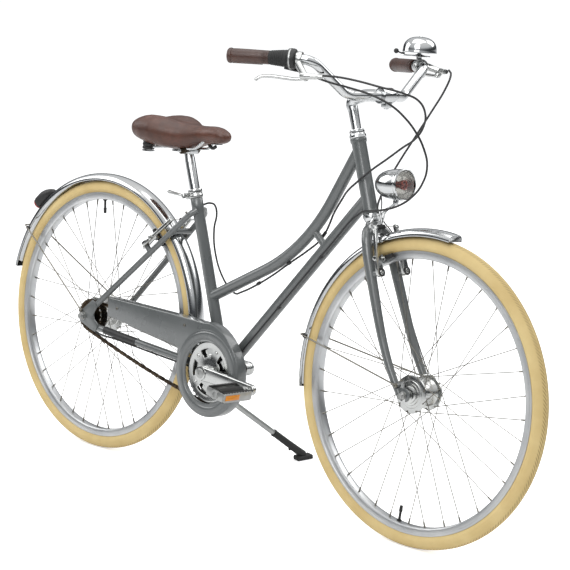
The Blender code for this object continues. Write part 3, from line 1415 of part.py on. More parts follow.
SHIFT_ROUTE = (
    *from_front(
        (-0.268, -0.2015, 1.035), (-0.238, -0.181, 1.0255), (-0.192, -0.171, 1.0155),
        (-0.133, -0.168, 1.008), (-0.081, -0.152, 0.997), (-0.044, -0.13, 0.979), (-0.022, -0.11, 0.957),
        (-0.003, -0.09, 0.927), (0.009, -0.072, 0.892), (0.011, -0.058, 0.856), (-0.006, -0.048, 0.815),
        (-0.035, -0.046, 0.781), (-0.072, -0.048, 0.757), (-0.111, -0.049, 0.744),
        (-0.151, -0.041, 0.7365), (-0.194, -0.024, 0.728), (-0.231, -0.0205, 0.702)),
    *beside_tubes(
        (0.84605, -0.0185, 0.666), (0.72107, -0.0178, 0.607), (0.52878, -0.0178, 0.516),
        (0.3365, -0.0178, 0.4245), (0.16825, -0.0178, 0.3445), (0.08893, -0.0178, 0.304)),
    (0.486, -0.0165, 0.272), (0.462, -0.018, 0.2578), (0.425, -0.0265, 0.274), (0.38, -0.0295, 0.279),
    (0.34, -0.0355, 0.2835), (0.3, -0.04, 0.2875), (0.2, -0.05, 0.2975), (0.11, -0.056, 0.306),
    (0.06, -0.058, 0.308), (0.034, -0.058, 0.3145), (0.0165, -0.058, 0.33))
FRONT_BRAKE_ROUTE = from_front(
    (-0.1825, 0.223, 1.056), (-0.16, 0.204, 1.046), (-0.154, 0.18, 1.012), (-0.162, 0.15, 0.962),
    (-0.174, 0.11, 0.897), (-0.179, 0.07, 0.842), (-0.183, 0.04, 0.795), (-0.179, 0.018, 0.765),
    (-0.161, -0.01, 0.75), (-0.144, -0.03, 0.742), (-0.136, -0.037, 0.729))


def cable(name, route, body_name):
    part(name, tube([Vector(point) for point in route], 0.0024, 6), body_name, black_rubber())


# Saddle

POST_TOP = 0.547
RAIL_RADIUS = 0.0035
SADDLE_REAR = 0.128
SADDLE_NOSE = 0.420


def saddle_station(number):
    """A share of the cover's length with its half width, crown height, edge drop and skirt bottom."""
    stations = (
        (0.00, 0.050, 0.862, 0.010, 0.842), (0.03, 0.074, 0.872, 0.010, 0.832),
        (0.10, 0.090, 0.879, 0.012, 0.824), (0.22, 0.096, 0.883, 0.018, 0.815),
        (0.36, 0.088, 0.880, 0.022, 0.808), (0.50, 0.068, 0.874, 0.026, 0.807),
        (0.62, 0.046, 0.871, 0.028, 0.811), (0.74, 0.032, 0.872, 0.022, 0.822),
        (0.86, 0.025, 0.875, 0.020, 0.838), (0.94, 0.021, 0.875, 0.018, 0.846),
        (0.985, 0.015, 0.869, 0.012, 0.848), (1.00, 0.008, 0.862, 0.006, 0.850))
    return stations[number]


def saddle_ring(station):
    """One closed section of the cover: over the top, round the skirts and back under the padding."""
    share, half, crown, drop, skirt = station
    x = SADDLE_REAR + (SADDLE_NOSE - SADDLE_REAR) * share
    pad = 0.016
    over = []
    for step in range(9):
        side = 1 - step / 4
        hump = 0.006 * math.sin(math.pi * abs(side)) if share < 0.3 else 0.0
        over.append(Vector((x, half * math.sin(side * math.pi / 2), crown - drop * side**4 + hump)))
    wall = min(0.007, half * 0.4)
    under = [Vector((x, -half, skirt + 0.006)), Vector((x, -half + wall * 0.5, skirt)),
             Vector((x, -half + wall, skirt + 0.006))]
    for step in range(5):
        side = -0.80 + 1.6 * step / 4
        room = half - wall
        height = max(skirt + 0.008, crown - pad - drop * side**4)
        under.append(Vector((x, room * side, height)))
    under += [Vector((x, half - wall, skirt + 0.006)), Vector((x, half - wall * 0.5, skirt)),
              Vector((x, half, skirt + 0.006))]
    return over + under


def loft(rings):
    """A closed skin over rings of equal count, with flat ends."""
    shape = bmesh.new()
    rows = [[shape.verts.new(point) for point in points] for points in rings]
    count = len(rows[0])
    for row, following in zip(rows, rows[1:]):
        for place in range(count):
            nearby = (place + 1) % count
            shape.faces.new((row[place], row[nearby], following[nearby], following[place]))
    shape.faces.new(rows[0][::-1])
    shape.faces.new(rows[-1])
    bmesh.ops.recalc_face_normals(shape, faces=shape.faces)
    return from_bmesh("loft", shape, Matrix())


def saddle():
    rings = [saddle_ring(saddle_station(number)) for number in range(12)]
    part("saddle", loft(rings), "seat_post", brown_leather())


RAIL_Y = 0.022
RAIL_Z = 0.811


def saddle_rails():
    """One bent wire: from the rear blocks through the post's clamp to the nose and back."""
    half = [Vector((0.1995, 0.050, 0.8045)), Vector((0.225, 0.036, 0.8080)), Vector((0.244, RAIL_Y, RAIL_Z)),
            Vector((0.258, RAIL_Y, RAIL_Z)), Vector((0.308, RAIL_Y, RAIL_Z)),
            Vector((0.322, RAIL_Y, RAIL_Z + 0.003)),
            Vector((0.352, 0.014, 0.8380)), Vector((0.3725, 0.006, 0.8465))]
    path = smooth(half, 2)
    loop = path + [mirrored(point) for point in reversed(path)]
    part("saddle_rails", tube(loop, RAIL_RADIUS, 6), "seat_post", chrome())


def saddle_pan():
    """The stiff pan inside the cover, with the two elastomer blocks and the nose's seat for the rails."""
    outline = [(0.150, 0.052), (0.175, 0.068), (0.215, 0.070), (0.262, 0.055), (0.300, 0.032), (0.335, 0.018)]
    outline += [(x, -y) for x, y in reversed(outline)]
    pan = plate(outline, 0.003, Matrix.Translation((0, 0, 0.8430)))
    pieces = [pan]
    for side in (-1, 1):
        pieces.append(rod((0.182, side * 0.050, 0.8430), (0.182, side * 0.050, 0.795), 0.0150, sides=14))
    shape = join(*pieces)
    part("saddle_pan", shape, "seat_post", black_plastic())


def seat_post():
    top = on_seat(POST_TOP)
    post = rod(on_seat(SEAT_TUBE_TOP - 0.130), top, SEAT_POST_RADIUS, sides=16)
    clamp = box((0.040, 0.056, 0.024), Matrix.Translation((top.x, 0, RAIL_Z - 0.001)))
    bolt = rod((top.x, -0.034, RAIL_Z - 0.006), (top.x, 0.034, RAIL_Z - 0.006), 0.0055, sides=12)
    shape = join(post, clamp, bolt)
    channels = []
    for side in (-1, 1):
        start = Vector((0.236, side * RAIL_Y, RAIL_Z))
        channels.append(rod(start, start + Vector((0.080, 0, 0)), RAIL_RADIUS + 0.0005, sides=10))
        top_cut = box((0.080, 0.0074, 0.020), Matrix.Translation((top.x, side * RAIL_Y, RAIL_Z + 0.010)))
        channels.append(top_cut)
    cut(shape, *channels)
    part("seat_post", shape, "seat_post", polished_alloy())


# Stand

STAND_AT = Vector(STAND_PIVOT)
STAND_RUN = Vector(STAND_AXIS).normalized()
GROUND_UP = Vector((0, -math.sin(LEAN), math.cos(LEAN)))
FOOT_AT = Vector((STAND_FOOT[0], STAND_FOOT[1], STAND_FOOT[1] * math.tan(LEAN)))
KNUCKLE_HALF = 0.0075
STAND_PIN_RADIUS = 0.005
SLEEVE_LENGTH = 0.115
SOLE_HEIGHT = 0.012


def leg_elbow():
    """Where the leg leaves its knuckle, square to the hinge."""
    slope = FOOT_AT - STAND_AT
    radial = (slope - STAND_RUN * slope.dot(STAND_RUN)).normalized()
    return STAND_AT + radial * 0.026


def leg_run():
    return (FOOT_AT + GROUND_UP * SOLE_HEIGHT - leg_elbow()).normalized()


def kickstand_mount():
    """The cast bracket bolted under the frame's stand plate, with the hinge's lug and pin."""
    plate_low = STAND_PLATE_TOP - STAND_PLATE_SHEET - GAP
    block_x = CHAIN_BRIDGE.x + 0.023
    block = box((0.026, 0.032, 0.016), Matrix.Translation((block_x, 0, plate_low - 0.008)))
    lug_near = STAND_AT - STAND_RUN * (KNUCKLE_HALF + RUNNING)
    lug_far = lug_near - STAND_RUN * 0.016
    head = STAND_AT + STAND_RUN * (KNUCKLE_HALF + RUNNING)
    shape = join(
        block,
        rod((block_x, 0.000, plate_low - 0.010), lug_near - STAND_RUN * 0.011, 0.0110, 0.0085, sides=12),
        rod(lug_far, lug_near, 0.0130, sides=16),
        rod(lug_near - STAND_RUN * 0.004, head + STAND_RUN * 0.002, STAND_PIN_RADIUS, sides=12),
        rod(head, head + STAND_RUN * 0.003, 0.0080, sides=12),
    )
    part("kickstand_mount", shape, "frame", satin_alloy())


def kickstand_leg():
    elbow = leg_elbow()
    end = FOOT_AT + GROUND_UP * SOLE_HEIGHT - leg_run() * 0.004
    near = STAND_AT + (elbow - STAND_AT).normalized() * 0.003
    path = rounded([near, elbow, end], [0.014], 4)
    knuckle = rod(STAND_AT - STAND_RUN * KNUCKLE_HALF, STAND_AT + STAND_RUN * KNUCKLE_HALF, 0.0130, sides=16)
    shape = join(knuckle, tube(path, STAND_LEG_RADIUS, 10))
    bore = rod(STAND_AT - STAND_RUN * 0.03, STAND_AT + STAND_RUN * 0.03, STAND_PIN_RADIUS + RUNNING, sides=12)
    cut(shape, bore)
    part("kickstand_leg", shape, "kickstand", satin_alloy())


def kickstand_foot():
    """The rubber sleeve on the leg's end and its flat sole."""
    run = leg_run()
    end = FOOT_AT + GROUND_UP * SOLE_HEIGHT
    forward = Vector((run.x, run.y, 0)).normalized()
    toe = (forward - GROUND_UP * forward.dot(GROUND_UP)).normalized()
    sole = axes(toe, GROUND_UP.cross(toe), GROUND_UP, FOOT_AT + GROUND_UP * SOLE_HEIGHT / 2)
    shape = join(
        rod(end - run * SLEEVE_LENGTH, end, 0.0092, 0.0105, sides=16),
        box((0.046, 0.026, SOLE_HEIGHT), sole),
    )
    bore_end = end - run * (0.004 - GAP)
    cut(shape, rod(end - run * (SLEEVE_LENGTH + 0.01), bore_end, STAND_LEG_RADIUS + RUNNING, sides=12))
    part("kickstand_foot", shape, "kickstand", black_rubber())


def bodies():
    """The root and an empty for each moving body."""
    body("frame", (0, 0, 0), UP, None)
    body("seat_post", on_seat(SEAT_TUBE_TOP), SEAT_UP, "frame")
    body("seat_clamp_lever", release_pivot(), SEAT_UP, "frame")
    body("crank", BRACKET, ACROSS, "frame")
    body("pedal_right", pedal_axle(-1), ACROSS, "crank")
    body("pedal_left", pedal_axle(1), ACROSS, "crank")
    body("rear_sprocket", REAR, ACROSS, "frame")
    body("rear_wheel", REAR, ACROSS, "frame")
    body("kickstand", STAND_AT, STAND_RUN, "frame")
    body("fork", STEER_FOOT, STEER_UP, "frame")
    body("front_wheel", FRONT, ACROSS, "fork")
    body("shifter_grip", side_point(BAR_END, -1), side_point(BAR_RUN, -1), "fork")
    body("bell_lever", bell_pivot(), UP, "fork")
    for side, word in ((-1, "right"), (1, "left")):
        body("brake_lever_" + word, lever_pivot(side), lever_axis(side), "fork")
        front_at = side_point(FRONT_PIVOT_ROOT, side) + FRONT_BOSS_RUN * BRAKE_OFFSET
        body("front_brake_arm_" + word, front_at, FRONT_BOSS_RUN * side, "fork")
        rear_at = side_point(REAR_PIVOT_ROOT, side) + REAR_BOSS_RUN * BRAKE_OFFSET
        body("rear_brake_arm_" + word, rear_at, REAR_BOSS_RUN * -side, "frame")


def stand_up():
    """Leans the bike onto its stand and puts the middle of its box's bottom at the world's origin."""
    for obj in PARTS.objects:
        wake(obj)
    root = EMPTIES["frame"]
    root.rotation_euler.x = -LEAN
    graph = bpy.context.evaluated_depsgraph_get()
    low = Vector((math.inf, math.inf, math.inf))
    high = -low
    for obj in PARTS.objects:
        if obj.type == "EMPTY":
            continue
        evaluated = obj.evaluated_get(graph)
        mesh = evaluated.to_mesh()
        for vertex in mesh.vertices:
            place = evaluated.matrix_world @ vertex.co
            low = Vector(map(min, low, place))
            high = Vector(map(max, high, place))
        evaluated.to_mesh_clear()
    root.location = (-(low.x + high.x) / 2, -(low.y + high.y) / 2, -low.z)


bodies()
frame_node()
headset()
seat_clamp()
release_lever()
bottom_bracket()
crank_right()
crank_left()
chainring()
sprocket()
chain()
chain_guard()
pedal(-1)
pedal(1)
tyre("rear_tyre", REAR, "rear_wheel")
tyre("front_tyre", FRONT, "front_wheel")
rim("rear_rim", REAR, "rear_wheel")
rim("front_rim", FRONT, "front_wheel")
rear_hub()
front_hub()
axles()
shift_cassette()
rear_fender()
front_fender()
fender_stay("rear_fender_stay", "frame", REAR_FENDER_CENTRE, math.radians(148), REAR + REAR_EYE)
fender_stay("front_fender_stay", "fork", FRONT_FENDER_CENTRE, math.radians(168.3), FRONT + FRONT_EYE)
rear_light()
fork()
stem()
handlebar()
grips()
shifter()
lever_bracket(-1)
lever_bracket(1)
brake_lever(-1)
brake_lever(1)
bell()
bell_lever()
headlamp()
brake_arms()
cable("rear_brake_cable", REAR_BRAKE_ROUTE, "frame")
cable("shift_cable", SHIFT_ROUTE, "frame")
cable("front_brake_cable", FRONT_BRAKE_ROUTE, "fork")
saddle()
saddle_rails()
saddle_pan()
seat_post()
kickstand_mount()
kickstand_leg()
kickstand_foot()
stand_up()
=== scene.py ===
"""The city bike, dressed for the photograph's view.

Pieces are modelled upright in the bike's own frame, in metres: +X forward, +Y to the rider's left, +Z up,
with the rear tyre's contact point at the origin. BIKE leans them onto the side stand and puts them where the
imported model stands.
"""

from math import acos, atan2, copysign, cos, dist, pi, radians, sin, sqrt, tan

import bmesh
import bpy
from mathutils import Matrix, Vector


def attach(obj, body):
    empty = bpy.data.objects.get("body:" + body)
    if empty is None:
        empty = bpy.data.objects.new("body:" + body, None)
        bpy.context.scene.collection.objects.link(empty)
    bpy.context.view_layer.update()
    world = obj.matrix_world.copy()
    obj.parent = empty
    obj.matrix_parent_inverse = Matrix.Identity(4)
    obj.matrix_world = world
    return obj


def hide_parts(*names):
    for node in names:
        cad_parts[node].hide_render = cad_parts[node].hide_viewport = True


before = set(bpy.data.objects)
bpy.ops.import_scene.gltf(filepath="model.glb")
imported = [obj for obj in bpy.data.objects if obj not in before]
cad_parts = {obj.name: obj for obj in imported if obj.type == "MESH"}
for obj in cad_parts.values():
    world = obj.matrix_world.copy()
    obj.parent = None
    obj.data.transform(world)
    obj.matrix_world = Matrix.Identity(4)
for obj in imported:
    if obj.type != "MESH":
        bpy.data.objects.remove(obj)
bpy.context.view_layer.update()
move = Matrix.Translation

# The seat tube's and head tube's angles to the ground, and the front axle's distance from the steering axis
SEAT_ANGLE = radians(70.3)
HEAD_ANGLE = radians(70.5)
FORK_OFFSET = 0.051
# The lean onto the stand
LEAN = radians(6.5)
BIKE = move((-0.5312, -0.11909, 0.0)) @ Matrix.Rotation(-LEAN, 4, "X")
TURN = 2 * pi
ACROSS = Vector((0, 1, 0))
UP = Vector((0, 0, 1))
REAR = Vector((0, 0, 0.348))
FRONT = Vector((1.076, 0, 0.348))
BRACKET = Vector((0.46, 0, 0.284))
SIDE = Matrix.Rotation(radians(90), 4, "X")
SEAT_UP = Vector((-cos(SEAT_ANGLE), 0, sin(SEAT_ANGLE)))
STEER_UP = Vector((-cos(HEAD_ANGLE), 0, sin(HEAD_ANGLE)))
STEER_FORWARD = Vector((sin(HEAD_ANGLE), 0, cos(HEAD_ANGLE)))
STEER_FOOT = FRONT - FORK_OFFSET * STEER_FORWARD
# The mudguards stand a little off the axles
REAR_GUARD_CENTRE = Vector((-0.004, 0, 0.346))
FRONT_GUARD_CENTRE = Vector((1.086, 0, 0.348))
# The chain's pitch and wheels, its distance to the right of the middle, and the cranks
PITCH = 0.0127
RING_TEETH = 40
COG_TEETH = 19
CRANK_LENGTH = 0.17
CRANK_ANGLE = radians(-3)
CHAIN_LINE = 0.045


# Camera, light and floor

# Solved from the outlines of both wheels; the focal length is in pixels of the picture
FOCAL_PIXELS = 1919.7
PICTURE_PIXELS = 570
SENSOR = 36.0


def camera():
    """The photograph's view: level, from the right and ahead, with a long lens."""
    data = bpy.data.cameras.new("camera")
    data.sensor_width = SENSOR
    data.lens = FOCAL_PIXELS / PICTURE_PIXELS * SENSOR
    obj = bpy.data.objects.new("camera", data)
    bpy.context.scene.collection.objects.link(obj)
    eye = BIKE @ Vector((3.7324, -3.2478, 1.1477))
    target = BIKE @ Vector((0.63864, 0, 0.52345))
    obj.matrix_world = move(eye) @ (target - eye).to_track_quat("-Z", "Y").to_matrix().to_4x4()
    bpy.context.scene.camera = obj


def srgb(code):
    """A hex colour as linear RGBA."""
    shares = [int(code[place:place + 2], 16) / 255 for place in (1, 3, 5)]
    return (*[s / 12.92 if s <= 0.04045 else ((s + 0.055) / 1.055) ** 2.4 for s in shares], 1.0)


def add(tree, kind, inputs=None, stops=None, **settings):
    """One node with its settings, its values and what is plugged into it."""
    node = tree.nodes.new(kind)
    for name, value in settings.items():
        setattr(node, name, value)
    if stops:
        while len(node.color_ramp.elements) < len(stops):
            node.color_ramp.elements.new(0.5)
        for element, (place, colour) in zip(node.color_ramp.elements, stops):
            element.position = place
            element.color = colour
    for name, value in (inputs or {}).items():
        if isinstance(value, bpy.types.NodeSocket):
            tree.links.new(value, node.inputs[name])
        else:
            node.inputs[name].default_value = value
    return node


def calc(tree, operation, *values):
    """A math node's result; the values are numbers or sockets."""
    return add(tree, "ShaderNodeMath", dict(enumerate(values)), operation=operation).outputs[0]


def between(tree, value, begin, end, **ends):
    """The value's place between two limits, from 0 to 1 unless other ends are given."""
    scale = {"Value": value, "From Min": begin, "From Max": end}
    scale.update({"To " + name: target for name, target in ends.items()})
    return add(tree, "ShaderNodeMapRange", scale).outputs[0]


def ramp(tree, place, scale, detail, *stops, **sockets):
    """Noise patches and their tones; the stops are places and hex colours."""
    patches = add(tree, "ShaderNodeTexNoise", {"Vector": place, "Scale": scale, "Detail": detail,
            **sockets}).outputs[0]
    tones = add(tree, "ShaderNodeValToRGB", {0: patches}, stops=[(at, srgb(colour)) for at,
            colour in stops])
    return patches, tones.outputs[0]


def emboss(tree, shader, height, strength, distance):
    """Relief from a height."""
    relief = add(tree, "ShaderNodeBump", {"Height": height, "Strength": strength, "Distance": distance})
    tree.links.new(relief.outputs[0], shader.inputs["Normal"])


def studio():
    """A pale floor, a white surround for the camera and for reflections, and soft lamps."""
    world = bpy.data.worlds.new("studio")
    bpy.context.scene.world = world
    world.use_nodes = True
    tree = world.node_tree
    tree.nodes.clear()
    path = add(tree, "ShaderNodeLightPath")
    seen = calc(tree, "MAXIMUM", path.outputs["Is Camera Ray"], path.outputs["Is Transmission Ray"])
    soft = add(tree, "ShaderNodeBackground", {"Color": srgb("#F4F6F8"), "Strength": 0.62})
    white = add(tree, "ShaderNodeBackground", {"Color": (1, 1, 1, 1), "Strength": 1.0})
    ray = add(tree, "ShaderNodeTexCoord")
    height = add(tree, "ShaderNodeSeparateXYZ", {0: ray.outputs["Generated"]})
    tone = add(tree, "ShaderNodeValToRGB", {0: height.outputs["Z"]}, stops=[(0.0, srgb("#77797B")),
            (0.07, srgb("#2C2E30")), (0.2, srgb("#55585B")), (0.42, srgb("#E4E6E8")), (0.8, (1, 1, 1, 1))])
    room = add(tree, "ShaderNodeBackground", {"Color": tone.outputs[0], "Strength": 0.95})
    gloss = add(tree, "ShaderNodeMixShader", {0: path.outputs["Is Glossy Ray"], 1: soft.outputs[0],
            2: room.outputs[0]})
    both = add(tree, "ShaderNodeMixShader", {0: seen, 1: gloss.outputs[0], 2: white.outputs[0]})
    add(tree, "ShaderNodeOutputWorld", {"Surface": both.outputs[0]})
    for name, at, size, power in (("key", (1.6, -3.4, 3.6), 2.6, 95), ("fill", (-3.2, -1.6, 2.6), 2.4, 45),
            ("back", (1.2, 3.2, 3.2), 2.6, 45), ("top", (0.0, 0.0, 4.2), 3.2, 60)):
        lamp = bpy.data.lights.new(name, "AREA")
        lamp.size = size
        lamp.energy = power
        obj = bpy.data.objects.new(name, lamp)
        bpy.context.scene.collection.objects.link(obj)
        at = Vector(at)
        obj.matrix_world = move(at) @ (Vector((0, 0, 0.5)) - at).to_track_quat("-Z",
                "Y").to_matrix().to_4x4()
    bpy.ops.mesh.primitive_plane_add(size=60, location=(0, 0, -0.0005))
    floor = bpy.context.object
    floor.name = "floor"
    pale = bpy.data.materials.new("pale_floor")
    pale.use_nodes = True
    tree = pale.node_tree
    tree.nodes.clear()
    matt = add(tree, "ShaderNodeBsdfDiffuse", {"Color": srgb("#FAFAFA")})
    path = add(tree, "ShaderNodeLightPath")
    glow = add(tree, "ShaderNodeEmission", {"Color": (1, 1, 1, 1), "Strength": 0.5})
    lit = add(tree, "ShaderNodeAddShader", {0: matt.outputs[0], 1: glow.outputs[0]})
    both = add(tree, "ShaderNodeMixShader", {0: path.outputs["Is Camera Ray"], 1: matt.outputs[0],
            2: lit.outputs[0]})
    add(tree, "ShaderNodeOutputMaterial", {"Surface": both.outputs[0]})
    floor.data.materials.append(pale)
    bpy.context.scene.view_settings.view_transform = "Standard"


# Finishes

def finish(name, colour, metallic, roughness, **sockets):
    """A new material with its shader set; returns the material, its tree and its shader."""
    material = bpy.data.materials.new(name)
    material.use_nodes = True
    tree = material.node_tree
    shader = tree.nodes["Principled BSDF"]
    shader.inputs["Base Color"].default_value = srgb(colour)
    shader.inputs["Metallic"].default_value = metallic
    shader.inputs["Roughness"].default_value = roughness
    for socket, value in sockets.items():
        shader.inputs[socket.replace("_", " ")].default_value = value
    return material, tree, shader


def grained(material, tree, shader, dark, light, patch, grain, depth, low, high):
    """Patches between two tones, a fine grain in relief and a roughness that varies with the patches."""
    place = add(tree, "ShaderNodeTexCoord").outputs["Object"]
    patches, tone = ramp(tree, place, patch, 4.0, (0.3, dark), (0.7, light))
    tree.links.new(tone, shader.inputs["Base Color"])
    tree.links.new(between(tree, patches, 0.3, 0.7, Min=low, Max=high), shader.inputs["Roughness"])
    fine = add(tree, "ShaderNodeTexNoise", {"Vector": place, "Scale": grain, "Detail": 2.0})
    emboss(tree, shader, fine.outputs[0], depth, 0.0002)
    return material


# Two-coat stove enamel: a deep gloss with a faint orange peel about 1.5 mm across
ENAMEL = grained(*finish("stove_enamel_grey", "#565959", 0.0, 0.3, Coat_Weight=0.7, Coat_Roughness=0.05),
        "#525555", "#5B5E5E", 9.0, 700.0, 0.05, 0.24, 0.34)
# Chromed steel: nearly a mirror, dulled a little where hands and dust reach it
CHROME = grained(*finish("chromed_steel", "#C8C9C9", 1.0, 0.1), "#BDBFC0", "#D2D3D3", 14.0, 900.0, 0.03,
        0.05, 0.16)
# Polished and lacquered aluminium: softer reflections than chrome, with a fine drawn grain
POLISHED = grained(*finish("polished_aluminium", "#BFC0BE", 1.0, 0.2), "#B2B3B2", "#CACBC9", 18.0, 1100.0,
        0.05, 0.14, 0.27)
# Die-cast aluminium left satin: a fine even grain about 0.8 mm across
SATIN = grained(*finish("satin_cast_aluminium", "#A9AAA8", 1.0, 0.38), "#9C9D9C", "#B5B6B4", 20.0, 1300.0,
        0.1, 0.32, 0.46)
# Drawn stainless wire: clean and bright
STAINLESS = grained(*finish("drawn_stainless_wire", "#7E7B74", 1.0, 0.34), "#74716A", "#8A877F", 30.0,
        1500.0, 0.03, 0.28, 0.42)
# Oiled chain steel: brown-black with an uneven film of oil
OILED = grained(*finish("oiled_chain_steel", "#463C31", 1.0, 0.42), "#2C2620", "#5E5040", 60.0, 900.0, 0.12,
        0.3, 0.55)
# Moulded ABS: black with a spark-eroded texture about 0.7 mm across
ABS = grained(*finish("moulded_black_abs", "#171717", 0.0, 0.48), "#131313", "#1E1E1F", 25.0, 1500.0, 0.14,
        0.42, 0.56)
# Moulded rubber: black and dull, with a bloom where it has been handled
RUBBER = grained(*finish("moulded_black_rubber", "#1C1C1C", 0.0, 0.72), "#181818", "#262625", 20.0, 800.0,
        0.18, 0.64, 0.82)
# Cable housing: black PVC with a slight gloss
HOUSING = grained(*finish("black_pvc_housing", "#141415", 0.0, 0.4), "#111112", "#1A1A1B", 30.0, 900.0,
        0.05, 0.34, 0.48)


def hide(name, dark, mid, light, crease):
    """Embossed leathercloth: pebbles about 1.3 mm across in relief, with painted shade in the creases
    between them, and lighter and darker patches at random.
    """
    material, tree, shader = finish(name, mid, 0.0, 0.34, Specular_IOR_Level=0.6)
    place = add(tree, "ShaderNodeTexCoord").outputs["Object"]
    patches, tone = ramp(tree, place, 22.0, 6.0, (0.28, dark), (0.52, mid), (0.78, light), Roughness=0.6)
    pebbles = add(tree, "ShaderNodeTexVoronoi", {"Vector": place, "Scale": crease},
            feature="DISTANCE_TO_EDGE")
    relief_and_shade = between(tree, pebbles.outputs["Distance"], 0.0, 0.16)
    # Painted shade: the creases between the pebbles are coloured with the dark tone, the same mask that
    # sinks them in relief
    crease_shade = add(tree, "ShaderNodeMix", {0: relief_and_shade, 6: srgb(dark), 7: tone}, data_type="RGBA")
    tree.links.new(crease_shade.outputs[2], shader.inputs["Base Color"])
    tree.links.new(between(tree, patches, 0.3, 0.75, Min=0.42, Max=0.26), shader.inputs["Roughness"])
    emboss(tree, shader, relief_and_shade, 0.28, 0.0003)
    return material


SADDLE_HIDE = hide("brown_saddle_leathercloth", "#34190F", "#57301F", "#744131", 760.0)
GRIP_HIDE = hide("brown_grip_leathercloth", "#301B14", "#472B21", "#5A3A2C", 900.0)


def tread(name, hub):
    """Tan tyre rubber: plain sidewalls, and a crown with a centre rib and slanted blocks every 9 mm, with
    painted shade in the grooves between them.
    """
    material, tree, shader = finish(name, "#CDB986", 0.0, 0.78)
    place = add(tree, "ShaderNodeTexCoord").outputs["Object"]
    centred = add(tree, "ShaderNodeMapping", {"Vector": place, "Location": -(BIKE @ hub)})
    upright = add(tree, "ShaderNodeVectorRotate", {"Vector": centred.outputs[0], "Angle": LEAN},
            rotation_type="X_AXIS")
    split = add(tree, "ShaderNodeSeparateXYZ", {0: upright.outputs[0]})
    angle = calc(tree, "ARCTAN2", split.outputs["X"], split.outputs["Z"])
    side = calc(tree, "ABSOLUTE", split.outputs["Y"])
    swept = calc(tree, "MULTIPLY_ADD", side, 1100.0, 0.0)
    turn = calc(tree, "MULTIPLY_ADD", angle, 240.0, swept)
    blocks = between(tree, calc(tree, "SINE", turn), -0.5, 0.1)
    crown = between(tree, side, 0.0115, 0.0085)
    rib = between(tree, side, 0.0016, 0.0024)
    relief_and_shade = calc(tree, "MULTIPLY", calc(tree, "MULTIPLY", crown, rib), calc(tree, "SUBTRACT", 1.0, blocks))
    tone = ramp(tree, place, 14.0, 6.0, (0.3, "#BBA26C"), (0.7, "#CBB580"))[1]
    # Painted shade: the tread's grooves are coloured a darker tan than the rubber around them
    groove_shade = add(tree, "ShaderNodeMix", {0: relief_and_shade, 6: tone, 7: srgb("#9C8757")}, data_type="RGBA")
    tree.links.new(groove_shade.outputs[2], shader.inputs["Base Color"])
    emboss(tree, shader, calc(tree, "SUBTRACT", 1.0, relief_and_shade), 0.35, 0.0005)
    return material


REAR_TREAD = tread("tan_tyre_rubber_rear", REAR)
FRONT_TREAD = tread("tan_tyre_rubber_front", FRONT)


def machined_rim(name, hub):
    """Anodised aluminium rim: silver, with rings about 1 mm apart from turning the brake tracks."""
    material, tree, shader = finish(name, "#BFC0C1", 1.0, 0.34)
    place = add(tree, "ShaderNodeTexCoord").outputs["Object"]
    centred = add(tree, "ShaderNodeMapping", {"Vector": place, "Location": -(BIKE @ hub)})
    reach = add(tree, "ShaderNodeVectorMath", {0: centred.outputs[0]}, operation="LENGTH")
    rings = calc(tree, "MULTIPLY", reach.outputs["Value"], 6283.0)
    tone = ramp(tree, place, 11.0, 4.0, (0.3, "#B3B5B7"), (0.7, "#CBCCCC"))[1]
    tree.links.new(tone, shader.inputs["Base Color"])
    emboss(tree, shader, calc(tree, "SINE", rings), 0.12, 0.0001)
    return material


REAR_ANODISED = machined_rim("anodised_rim_rear", REAR)
FRONT_ANODISED = machined_rim("anodised_rim_front", FRONT)


def moulded_lens(name, colour, roughness, transmission, prism):
    """Moulded lens plastic with small prisms in relief, 2 to 3 mm across, which scatter the light."""
    material, tree, shader = finish(name, colour, 0.0, roughness, Transmission_Weight=transmission,
            IOR=1.49)
    place = add(tree, "ShaderNodeTexCoord").outputs["Object"]
    prisms = add(tree, "ShaderNodeTexVoronoi", {"Vector": place, "Scale": prism})
    emboss(tree, shader, prisms.outputs["Distance"], 0.35, 0.0005)
    return material


RED_LENS = moulded_lens("red_lens_acrylic", "#A81414", 0.12, 0.25, 420.0)
AMBER_LENS = moulded_lens("amber_reflector_acrylic", "#D98516", 0.16, 0.1, 480.0)
CLEAR_LENS = moulded_lens("clear_lamp_glass", "#FFFDFA", 0.0, 1.0, 160.0)
LAMP_AMBER = moulded_lens("bulb_holder_red_brown_plastic", "#8E2F1C", 0.2, 0.05, 300.0)


# Modelling tools

# Points nearer than this are one point
MERGE_DISTANCE = 0.000004


def start():
    """Back in object mode with nothing selected."""
    if bpy.context.mode != "OBJECT":
        bpy.ops.object.mode_set(mode="OBJECT")
    bpy.ops.object.select_all(action="DESELECT")


def pick(obj):
    start()
    obj.select_set(True)
    bpy.context.view_layer.objects.active = obj


def facing(direction, at):
    """A matrix whose local Z is the direction."""
    return move(at) @ Vector(direction).to_track_quat("Z", "Y").to_matrix().to_4x4()


def axes(x, y, z, at):
    """A matrix with the given local axes."""
    return move(at) @ Matrix((x, y, z)).transposed().to_4x4()


def draw(points):
    """A small circle merged to one point, which is then extruded through the points."""
    start()
    points = [Vector(point) for point in points]
    bpy.ops.mesh.primitive_circle_add(vertices=3, radius=0.001, location=(0, 0, 0))
    bpy.ops.object.mode_set(mode="EDIT")
    bpy.ops.mesh.select_mode(type="VERT")
    bpy.ops.mesh.select_all(action="SELECT")
    bpy.ops.mesh.merge(type="CENTER")
    bpy.ops.transform.translate(value=points[0])
    for before, after in zip(points, points[1:]):
        bpy.ops.mesh.extrude_vertices_move(TRANSFORM_OT_translate={"value": after - before})
    return bpy.context.object


def clean():
    """Merges doubles and turns the faces outwards; ends edit mode."""
    bpy.ops.mesh.select_all(action="SELECT")
    bpy.ops.mesh.remove_doubles(threshold=MERGE_DISTANCE)
    bpy.ops.mesh.normals_make_consistent(inside=False)
    bpy.ops.object.mode_set(mode="OBJECT")


